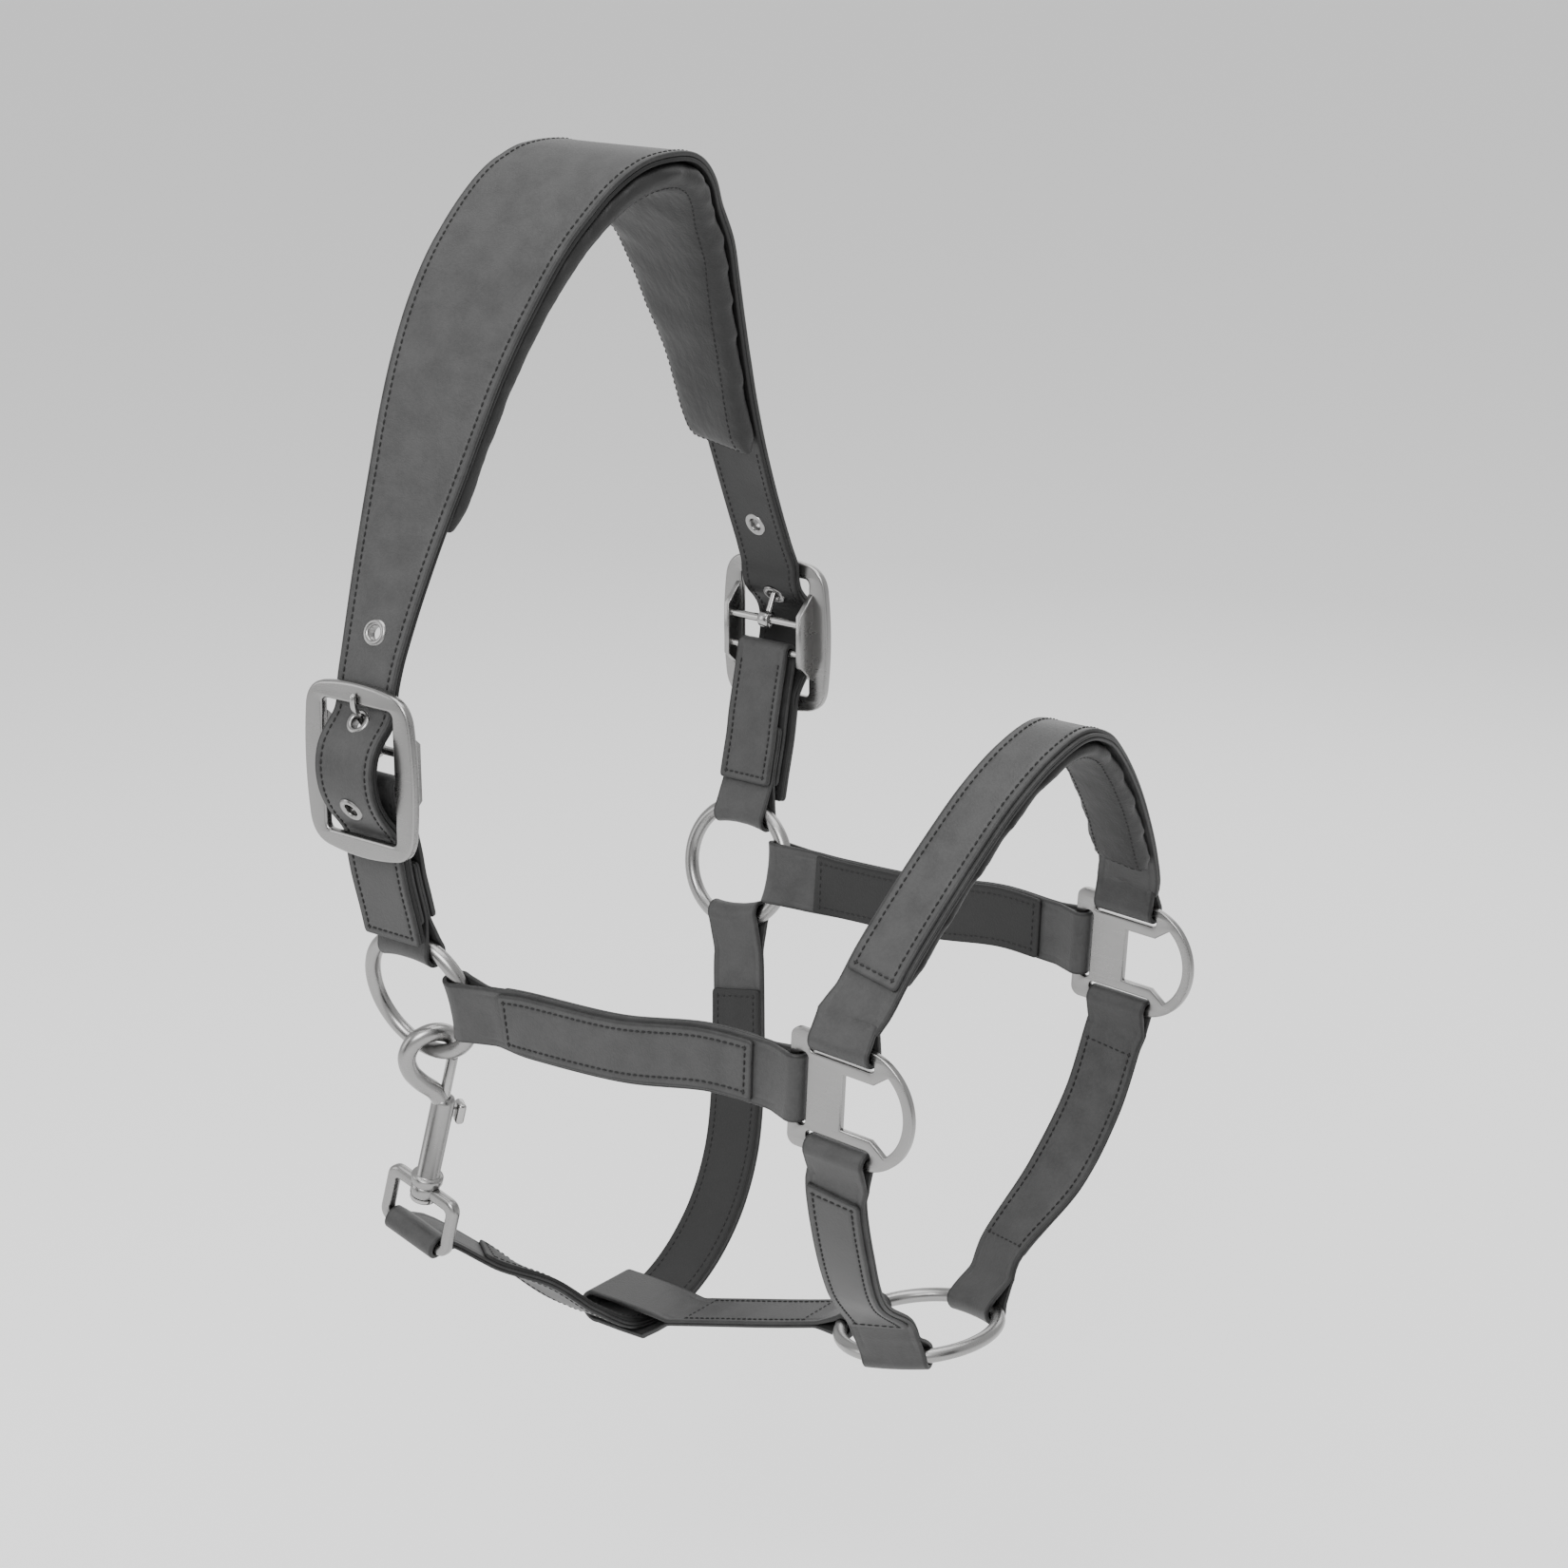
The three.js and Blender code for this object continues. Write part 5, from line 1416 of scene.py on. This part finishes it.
def panelled(name, run, folds, panel, back=None, sewn_behind=True):
    """A folded strap with its raised panel, its stitches and, where back is given, a lining."""
    made = {"strap": folded_strap(name + "_leather", run, folds, leather)}
    start, stop = panel
    low, high = BASE / 2 - 0.25, BASE / 2 + GAP + PANEL - 0.15
    width = STRAP_WIDTH - PANEL_NARROWER
    made["panel"] = flat_strap(name + "_panel_leather", run, start, stop, width, low, high, panel_leather)
    front_rows = edge_rows(run, start, stop, width, high - STITCH_SINK)
    made["stitches"] = stitches(name + "_stitches", front_rows, 7)
    if back:
        made["lining"] = flat_strap(
            name + "_lining_leather", run, *back, LINING_WIDTH, LINING_LOW, LINING_HIGH, lining
        )
        rows = edge_rows(run, *back, LINING_WIDTH, LINING_LOW)
    else:
        rows = edge_rows(run, start, stop, STRAP_WIDTH, STITCH_SINK - FOLDED_FACE)
    if sewn_behind:
        made["back_stitches"] = stitches(name + "_back_stitches", rows, 8)
    return made


def make_side_strap(side, name):
    rear = ring_point(side, 0)
    points = [
        rear, rear + X_AXIS * 14, vec(45, side * 108, -328.3), vec(95, side * 107, -326),
        fitting_point(side, -FITTING_REAR - 40, 0) + vec(0, side * 2, -1),
        fitting_point(side, -FITTING_REAR - 14, 0), fitting_point(side, FITTING_BAR / 2 - FITTING_REAR, 0),
    ]
    across = [ring_up(side), ring_up(side), Z_AXIS, Z_AXIS, FITTING_UP, FITTING_UP, FITTING_UP]
    run = Run(points, across, vec(0, side, 0))
    wire = Fold(SIDE_RING_WIRE, SIDE_RING_RADIUS - SIDE_RING_WIRE, -X_AXIS, RING_GAP)
    bar = Fold(FITTING_BAR_EYE)
    lengths = (run.length * 2.1 / 18, run.length * 15.9 / 18)
    return panelled(name + "_side", run, (wire, bar), lengths, lengths)


NOSE_ARCH = (
    (208.5, 95.5, -281), (212, 86.5, -266), (216.5, 73, -248), (221.5, 56, -228), (226, 37, -209.5),
    (230, 19, -197),
)
NOSE_DROP = 191.5


def make_noseband():
    def half(side):
        return [
            fitting_point(side, FITTING_SLOT_X, FITTING_BAR_UP),
            fitting_point(side, FITTING_SLOT_X, FITTING_BAR_UP + 9) - Y_AXIS * side * 1.8,
            *(vec(x, side * y, z) for x, y, z in NOSE_ARCH),
        ]

    across = [FITTING_AHEAD, FITTING_AHEAD, *(X_AXIS for _ in NOSE_ARCH)]
    points = [*half(-1), vec(232, 0, -NOSE_DROP), *half(1)[::-1]]
    run = Run(points, [*across, X_AXIS, *across[::-1]], -Y_AXIS)
    bar = Fold(FITTING_BAR_EYE)
    covered = (run.length * 4 / 44, run.length * 40 / 44)
    made = panelled("noseband", run, (bar, bar), covered, sewn_behind=False)
    high = -BASE / 2 + 0.3
    made["pad"] = pad(
        "noseband_padding", run, *covered, lambda d: STRAP_WIDTH + 2.6, high, high - 8.2, 0.75, 0.12
    )
    rows = pad_rows(made["pad"], run, *covered, STRAP_WIDTH, high - 8.2)
    made["pad_stitches"] = stitches("noseband_pad_stitches", rows, 11)
    return made


CHIN_DESCENT = ((199.5, 100.5, -362), (196, 91, -390), (189.5, 73.5, -420))


def make_chin_strap(side, name):
    beside = math.sqrt(CHIN_RING_RADIUS**2 - CHIN_LOOP_FORWARD**2)
    bottom = chin_ring_point(CHIN_LOOP_FORWARD, side * beside)
    wire_along = unit(chin_ring_point(beside, -side * CHIN_LOOP_FORWARD) - CHIN_RING_CENTRE)
    inward = unit(CHIN_RING_CENTRE - bottom)
    upright = vec(-math.sin(CHIN_RING_TILT), 0, math.cos(CHIN_RING_TILT))
    rise = upright * 0.87 - inward * 0.5
    points = [
        fitting_point(side, FITTING_SLOT_X, -FITTING_BAR_UP),
        fitting_point(side, FITTING_SLOT_X, -FITTING_BAR_UP - 9) - Y_AXIS * side * 0.6,
        *(vec(x, side * y, z) for x, y, z in CHIN_DESCENT),
        bottom + rise * 24, bottom + rise * 11, bottom,
    ]
    across = [FITTING_AHEAD, FITTING_AHEAD, X_AXIS, X_AXIS, X_AXIS, wire_along, wire_along, wire_along]
    run = Run(points, across, vec(0, side, 0))
    wire = Fold(CHIN_RING_WIRE, CHIN_RING_RADIUS - CHIN_RING_WIRE, inward, RING_GAP)
    folds = (Fold(FITTING_BAR_EYE), wire)
    return panelled(name + "_chin", run, folds, (run.length * 2.1 / 18, run.length * 14.9 / 18))


side_straps = {name: make_side_strap(side, name) for name, side in SIDES.items()}
noseband = make_noseband()
chin_straps = {name: make_chin_strap(side, name) for name, side in SIDES.items()}
print("panelled straps made")

# %% [markdown]
# ## The throat strap and the link
# The throat strap hangs from the left side ring, passes under the jaw and ends in the snap's eye. A short
# link holds it to the chin ring: it folds round the ring and its other end makes a loop for the strap.

# %% Throat strap and link
LINK_LOOP_LENGTH = 26
LINK_LOOP_RADIUS = 5.8
THROAT_LOW = vec(7.5, 0, -514)
THROAT_ANGLE = -80
SNAP_EYE_CENTRE = vec(-39, -95, -452)
SNAP_EYE_AXIS = vec(0.975, 0, -0.2)
SNAP_EYE_BAR = 2.7
SNAP_BEHIND = vec(-0.5, -0.866, 0)
SNAP_WIRE_OFFSET = 9.5

snap_up = unit(ring_point(-1, -90) - SNAP_BEHIND * SNAP_WIRE_OFFSET - SNAP_EYE_CENTRE)
snap_across = unit(SNAP_EYE_AXIS - snap_up * (SNAP_EYE_AXIS @ snap_up))
snap_ahead = unit(-SNAP_BEHIND + snap_up * (SNAP_BEHIND @ snap_up))
snap_reach = (ring_point(-1, -90) - SNAP_EYE_CENTRE) @ snap_up


def snap_point(ahead, up):
    return SNAP_EYE_CENTRE + snap_up * (snap_reach + up) + snap_ahead * ahead


def make_throat_strap():
    start = ring_point(1, THROAT_ANGLE)
    outwards = unit(start - side_ring_centre(1))
    ring_along = unit(np.cross(outwards, Y_AXIS))
    ring_along = ring_along * np.sign(ring_along[0])
    descent = (
        (-8.5, 97.5, -377), (-4, 92, -400), (3, 82.5, -429), (9.5, 69, -458), (12.5, 52, -482),
        (11, 33, -502), (9, 15, -512.2),
    )
    rise = ((5.5, -15, -512), (-1.5, -30, -502.5), (-12, -47, -486.5), (-24, -64, -472))
    arrive = unit(np.cross(snap_across, snap_up))
    arrive = unit(arrive * -np.sign(arrive[1]) + snap_up * 0.35)
    points = [
        start, start + outwards * 12, *(vec(*p) for p in descent), THROAT_LOW, *(vec(*p) for p in rise),
        SNAP_EYE_CENTRE - arrive * 15, SNAP_EYE_CENTRE,
    ]
    across = [X_AXIS if i < len(points) - 3 else snap_across for i in range(len(points))]
    across[0] = across[1] = ring_along
    run = Run(points, across, Y_AXIS)
    folds = (
        Fold(SIDE_RING_WIRE, SIDE_RING_RADIUS - SIDE_RING_WIRE, -outwards, RING_GAP),
        Fold(SNAP_EYE_BAR + 0.45),
    )
    strap = folded_strap("throat_leather", run, folds, leather)
    start, stop = run.length * 5 / 52, run.length * 46 / 52
    back = flat_strap(
        "throat_lining_leather", run, start, stop, LINING_WIDTH, LINING_LOW, LINING_HIGH, lining
    )
    front_rows = edge_rows(run, start, stop, STRAP_WIDTH, FOLDED_FACE - STITCH_SINK)
    back_rows = edge_rows(run, start, stop, LINING_WIDTH, LINING_LOW)
    return strap, back, stitches("throat_stitches", front_rows + back_rows, 9)


def make_link():
    front = chin_ring_point(-CHIN_RING_RADIUS, 0)
    loop_front = THROAT_LOW + vec(LINK_LOOP_LENGTH / 2, 0, (PANEL + GAP) / 2 + 2.2)
    run = Run([front, vec(100, 0, -487), vec(60, 0, -499), loop_front], Y_AXIS, -Z_AXIS)
    folds = (
        Fold(CHIN_RING_WIRE, CHIN_RING_RADIUS - CHIN_RING_WIRE, X_AXIS, RING_GAP),
        Fold(LINK_LOOP_RADIUS - GAP, stretch=-X_AXIS * LINK_LOOP_LENGTH),
    )
    strap = folded_strap("link_leather", run, folds, leather)
    start, stop = folds[0].lead + 2, run.length - folds[1].lead - 2
    rows = edge_rows(run, start, stop, STRAP_WIDTH, FOLDED_FACE - STITCH_SINK)
    rows += edge_rows(run, start, stop, STRAP_WIDTH, -FOLDED_FACE)
    return strap, stitches("link_stitches", rows, 10)


throat = make_throat_strap()
link = make_link()
print("throat strap and link made")

# %% [markdown]
# ## The bolt snap
# The snap is cast in one piece with its hook: a round barrel with a sliding bolt that a spring pushes
# against the hook's nose. A thumb knob in a slot draws the bolt back. The strap's eye swivels on a rivet.

# %% Snap body, bolt and swivel
HOOK_WIRE = 4.0
BARREL = 5.2
ROD = 2.4
SHOULDER = -25
BARREL_END = -66
COLLAR_END = -70.5
KNOB_MIDDLE = -33
SNAP_TRAVEL = 7
HOOK_ROUTE = (
    (0, -34), (-0.6, -28.5), (-4.6, -22.3), (-12, -17), (-18, -11), (-20.9, -3.5), (-19, 4), (-12.5, 8.6),
    (-5, 8.2), (0.6, 3.2),
)
snap_side = np.cross(snap_ahead, snap_up)
SNAP_BASIS = np.stack([snap_ahead, snap_side * -1, snap_up], 1)


def turned_on_snap(profile, count=40):
    """A solid turned about the barrel's axis from (radius, height) points."""
    return skin([placed(r, snap_point(0, 0), SNAP_BASIS) for r in turned(profile, count)], closed=True)


def snap_plate(outlines, thickness, bevel, ahead, up, along):
    return plate(outlines, thickness, bevel, snap_point(ahead, up), along, snap_up)


def make_hook():
    route = spline(np.array([(a, w, 0) for a, w in HOOK_ROUTE], float), np.linspace(0, 1, 70))
    path = [snap_point(a, w) for a, w, _ in route]
    last = path[-1] + unit(path[-1] - path[-2]) * HOOK_WIRE * 0.28
    path = path + [path[-1] * (1 - k) + last * k for k in (0.5, 0.85, 1.0)]
    radii = np.full(73, HOOK_WIRE, float)
    radii[:4] = HOOK_WIRE * 0.9
    radii[-7:] = HOOK_WIRE * np.array([0.99, 0.97, 0.94, 0.88, 0.72, 0.5, 0.3])
    inner = ROD + 0.35
    barrel = turned_on_snap([
        (inner, BARREL_END + 3), (inner, SHOULDER), (BARREL - 1.6, SHOULDER + 0.4),
        (BARREL - 0.5, SHOULDER - 0.4), (BARREL, SHOULDER - 1.8), (BARREL, BARREL_END + 0.5),
        (BARREL + 0.5, BARREL_END), (BARREL + 1.6, BARREL_END - 0.2), (BARREL + 2, BARREL_END - 0.9),
        (BARREL + 2, COLLAR_END + 0.9), (BARREL + 1.5, COLLAR_END), (3.3, COLLAR_END),
        (3.3, COLLAR_END + 4.5),
    ])
    body = gathered("snap_barrel", [barrel], steel, 50)
    travel = 3.6 + SNAP_TRAVEL + 0.7
    slot = rounded_rectangle(BARREL + 2, travel, 1.2)
    slot_up = KNOB_MIDDLE - SNAP_TRAVEL / 2
    cutter_plate = snap_plate([slot], 3.1, 0.05, (BARREL + 2) / 2 + 0.3, slot_up, snap_ahead)
    cutter = gathered("slot", [cutter_plate], steel)
    opening = body.modifiers.new("slot", "BOOLEAN")
    opening.operation = "DIFFERENCE"
    opening.solver = "EXACT"
    opening.object = cutter
    body = plain_mesh(body, "snap_barrel")
    bpy.data.objects.remove(cutter)
    hook = gathered("snap_hook_bar", [tube(path, radii, 24)], steel, 60)
    return body, hook


def make_bolt():
    end = KNOB_MIDDLE - 11
    bolt = turned_on_snap([(0.05, end), (ROD, end), (ROD, -4.4), (ROD * 0.8, -3.7), (0.05, -3.5)], 28)
    stem = snap_plate([rounded_rectangle(8.5, 3.6, 0.6)], 2.4, 0.2, 4.25, KNOB_MIDDLE, snap_ahead)
    knob = snap_plate([rounded_rectangle(4, 10, 1.6)], 7, 1.3, BARREL + 3.2, KNOB_MIDDLE, snap_ahead)
    return gathered("snap_bolt_rod", [bolt, stem, knob], rod_steel, 50)


def make_swivel():
    inside = STRAP_WIDTH + 2
    wide = inside + 4 * SNAP_EYE_BAR
    eye_top, low, crossbar = COLLAR_END - GAP, -snap_reach - SNAP_EYE_BAR, 6
    shift = (2 * SNAP_EYE_BAR - crossbar) / 2
    height = eye_top - low
    opening = rounded_rectangle(inside, height - crossbar - 2 * SNAP_EYE_BAR, 2, 0, shift)
    body = snap_plate(
        [rounded_rectangle(wide, height, 6), opening],
        2 * SNAP_EYE_BAR, 1.9, 0, (eye_top + low) / 2, snap_across,
    )
    boss = turned_on_snap([
        (3.25, eye_top - crossbar), (3.25, eye_top), (5.7, eye_top), (6.4, eye_top - 0.7),
        (6.4, eye_top - crossbar + 0.7), (5.7, eye_top - crossbar),
    ])
    eye = gathered("snap_eye", [body, boss], steel, 50)
    head = eye_top - crossbar - GAP
    rivet = turned_on_snap([
        (0.05, head - 2.6), (4.6, head - 2.5), (5.7, head - 1.9), (6, head - 1.2), (5.8, head), (2.9, head),
        (2.9, COLLAR_END + 4.3), (0.05, COLLAR_END + 4.6),
    ])
    return eye, gathered("snap_rivet", [rivet], rod_steel, 50)


snap_body, snap_hook = make_hook()
snap_bolt = make_bolt()
snap_eye, snap_rivet = make_swivel()
print("snap stands", round(float(snap_reach)), "mm over its eye")

# %% [markdown]
# ## Everything rides on its body
# Each piece stands for the CAD nodes it replaces and moves with their body. The small spring inside the
# barrel is carried over as it is.

# %% Bodies and replaced nodes


def settle(piece, body, slot_name, *nodes):
    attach(piece, body)
    if nodes:
        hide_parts(*nodes)


settle(headpiece_outer, "harness", "leather", "headpiece_outer")
settle(headpiece_backing, "harness", "lining", "headpiece_backing")
settle(headpiece_stitches, "harness", "leather")
settle(eyelets, "harness", "steel", *(f"{name}_eyelet_{n}" for name in SIDES for n in (1, 2, 3)))
settle(headpiece_pad, "harness", "lining", "headpiece_pad_cover", "headpiece_pad_foam")
settle(headpiece_pad_stitches, "harness", "leather")
for name in SIDES:
    rim, bars, prong = buckles[name]
    settle(rim, "harness", "steel", name + "_buckle_frame")
    settle(bars, "harness", "steel", name + "_tongue_bar", name + "_strap_bar")
    settle(prong, name + "_tongue", "steel", name + "_buckle_tongue")
    settle(side_rings[name], name + "_side_ring", "steel", name + "_side_ring")
    settle(fittings[name], "harness", "steel", name + "_nose_fitting")
    cheek, cheek_sewing, tab, tab_sewing = cheeks[name]
    settle(cheek, "harness", "leather", name + "_cheek_strap")
    settle(cheek_sewing, "harness", "leather")
    settle(tab, "harness", "leather", name + "_ring_tab")
    settle(tab_sewing, "harness", "leather")
    for made, node in ((side_straps[name], "_side_strap"), (chin_straps[name], "_chin_strap")):
        settle(made["strap"], "harness", "leather", name + node)
        settle(made["panel"], "harness", "leather", name + node + "_panel")
        settle(made["stitches"], "harness", "leather")
        settle(made["back_stitches"], "harness", "leather")
        if "lining" in made:
            settle(made["lining"], "harness", "lining", name + node + "_lining")
settle(chin_ring, "chin_ring", "steel", "chin_ring")
settle(noseband["strap"], "harness", "leather", "noseband_strap")
settle(noseband["panel"], "harness", "leather", "noseband_panel")
settle(noseband["stitches"], "harness", "leather")
settle(noseband["pad_stitches"], "harness", "leather")
settle(noseband["pad"], "harness", "lining", "noseband_pad_cover", "noseband_pad_foam")
settle(throat[0], "harness", "leather", "throat_strap")
settle(throat[1], "harness", "lining", "throat_strap_lining")
settle(throat[2], "harness", "leather")
settle(link[0], "harness", "leather", "chin_link_strap")
settle(link[1], "harness", "leather")
settle(snap_body, "snap_body", "steel", "snap_hook")
settle(snap_hook, "snap_body", "steel")
settle(snap_bolt, "snap_gate", "steel", "snap_bolt")
settle(snap_eye, "harness", "steel", "snap_swivel_eye")
settle(snap_rivet, "harness", "steel", "snap_swivel_rivet")
shown = [name for name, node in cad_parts.items() if not node.hide_render]
for name in shown:
    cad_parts[name].data.materials.clear()
    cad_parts[name].data.materials.append(coil_steel)
print("CAD nodes still shown:", shown)

# %% [markdown]
# ## Floor, light and background
# A plain pale floor and soft light from all round keep the eye on the leather. The main light is above and
# in front, and two black boards out of view give the metal its dark stripes. The floor is some way below.

# %% Studio
FLOOR_BELOW = 0.22
lowest = cad_box[0].z - FLOOR_BELOW
bpy.ops.mesh.primitive_plane_add(size=90, location=(0, 0, lowest))
floor = bpy.context.object
floor.name = "floor"
floor_shop = Workshop("floor", Base_Color=(0.95, 0.95, 0.95, 1), Roughness=1.0)
floor.data.materials.append(floor_shop.material)


def area_light(name, at, size, watts, target=CAMERA_TARGET):
    data = bpy.data.lights.new(name, "AREA")
    data.shape = "RECTANGLE"
    data.size, data.size_y = size
    data.energy = watts
    lamp = bpy.data.objects.new(name, data)
    bpy.context.scene.collection.objects.link(lamp)
    lamp.location = at
    lamp.rotation_mode = "QUATERNION"
    lamp.rotation_quaternion = (target - Vector(at)).to_track_quat("-Z", "Y")
    return lamp


def flag(name, at, size, target=CAMERA_TARGET):
    """A black board out of view, which shows in the metal as a dark stripe."""
    bpy.ops.mesh.primitive_plane_add(size=1, location=at)
    board = bpy.context.object
    board.name = name
    board.scale = (*size, 1)
    board.rotation_mode = "QUATERNION"
    board.rotation_quaternion = (target - Vector(at)).to_track_quat("Z", "Y")
    board.data.materials.append(flag_shop.material)
    return board


flag_shop = Workshop("flag", Base_Color=(0.01, 0.01, 0.01, 1), Roughness=1.0)
lamps = [
    area_light("key", (0.7, -1.7, 1.0), (1.1, 0.9), 34),
    area_light("fill", (-1.5, -1.4, 0.3), (0.8, 1.4), 8),
    area_light("top", (0.1, 0.0, 1.4), (1.8, 1.4), 30),
    area_light("rim", (-0.4, 1.7, 0.5), (1.6, 1.0), 9),
    flag("left_flag", (-0.45, -1.7, -0.3), (0.45, 2.0)),
    flag("right_flag", (1.9, -0.55, -0.2), (0.6, 2.0)),
]
world = bpy.data.worlds.new("studio")
bpy.context.scene.world = world
world.use_nodes = True
world.node_tree.nodes["Background"].inputs["Color"].default_value = (1, 1, 1, 1)
world.node_tree.nodes["Background"].inputs["Strength"].default_value = 0.9
print("floor at", round(lowest, 3), "m")
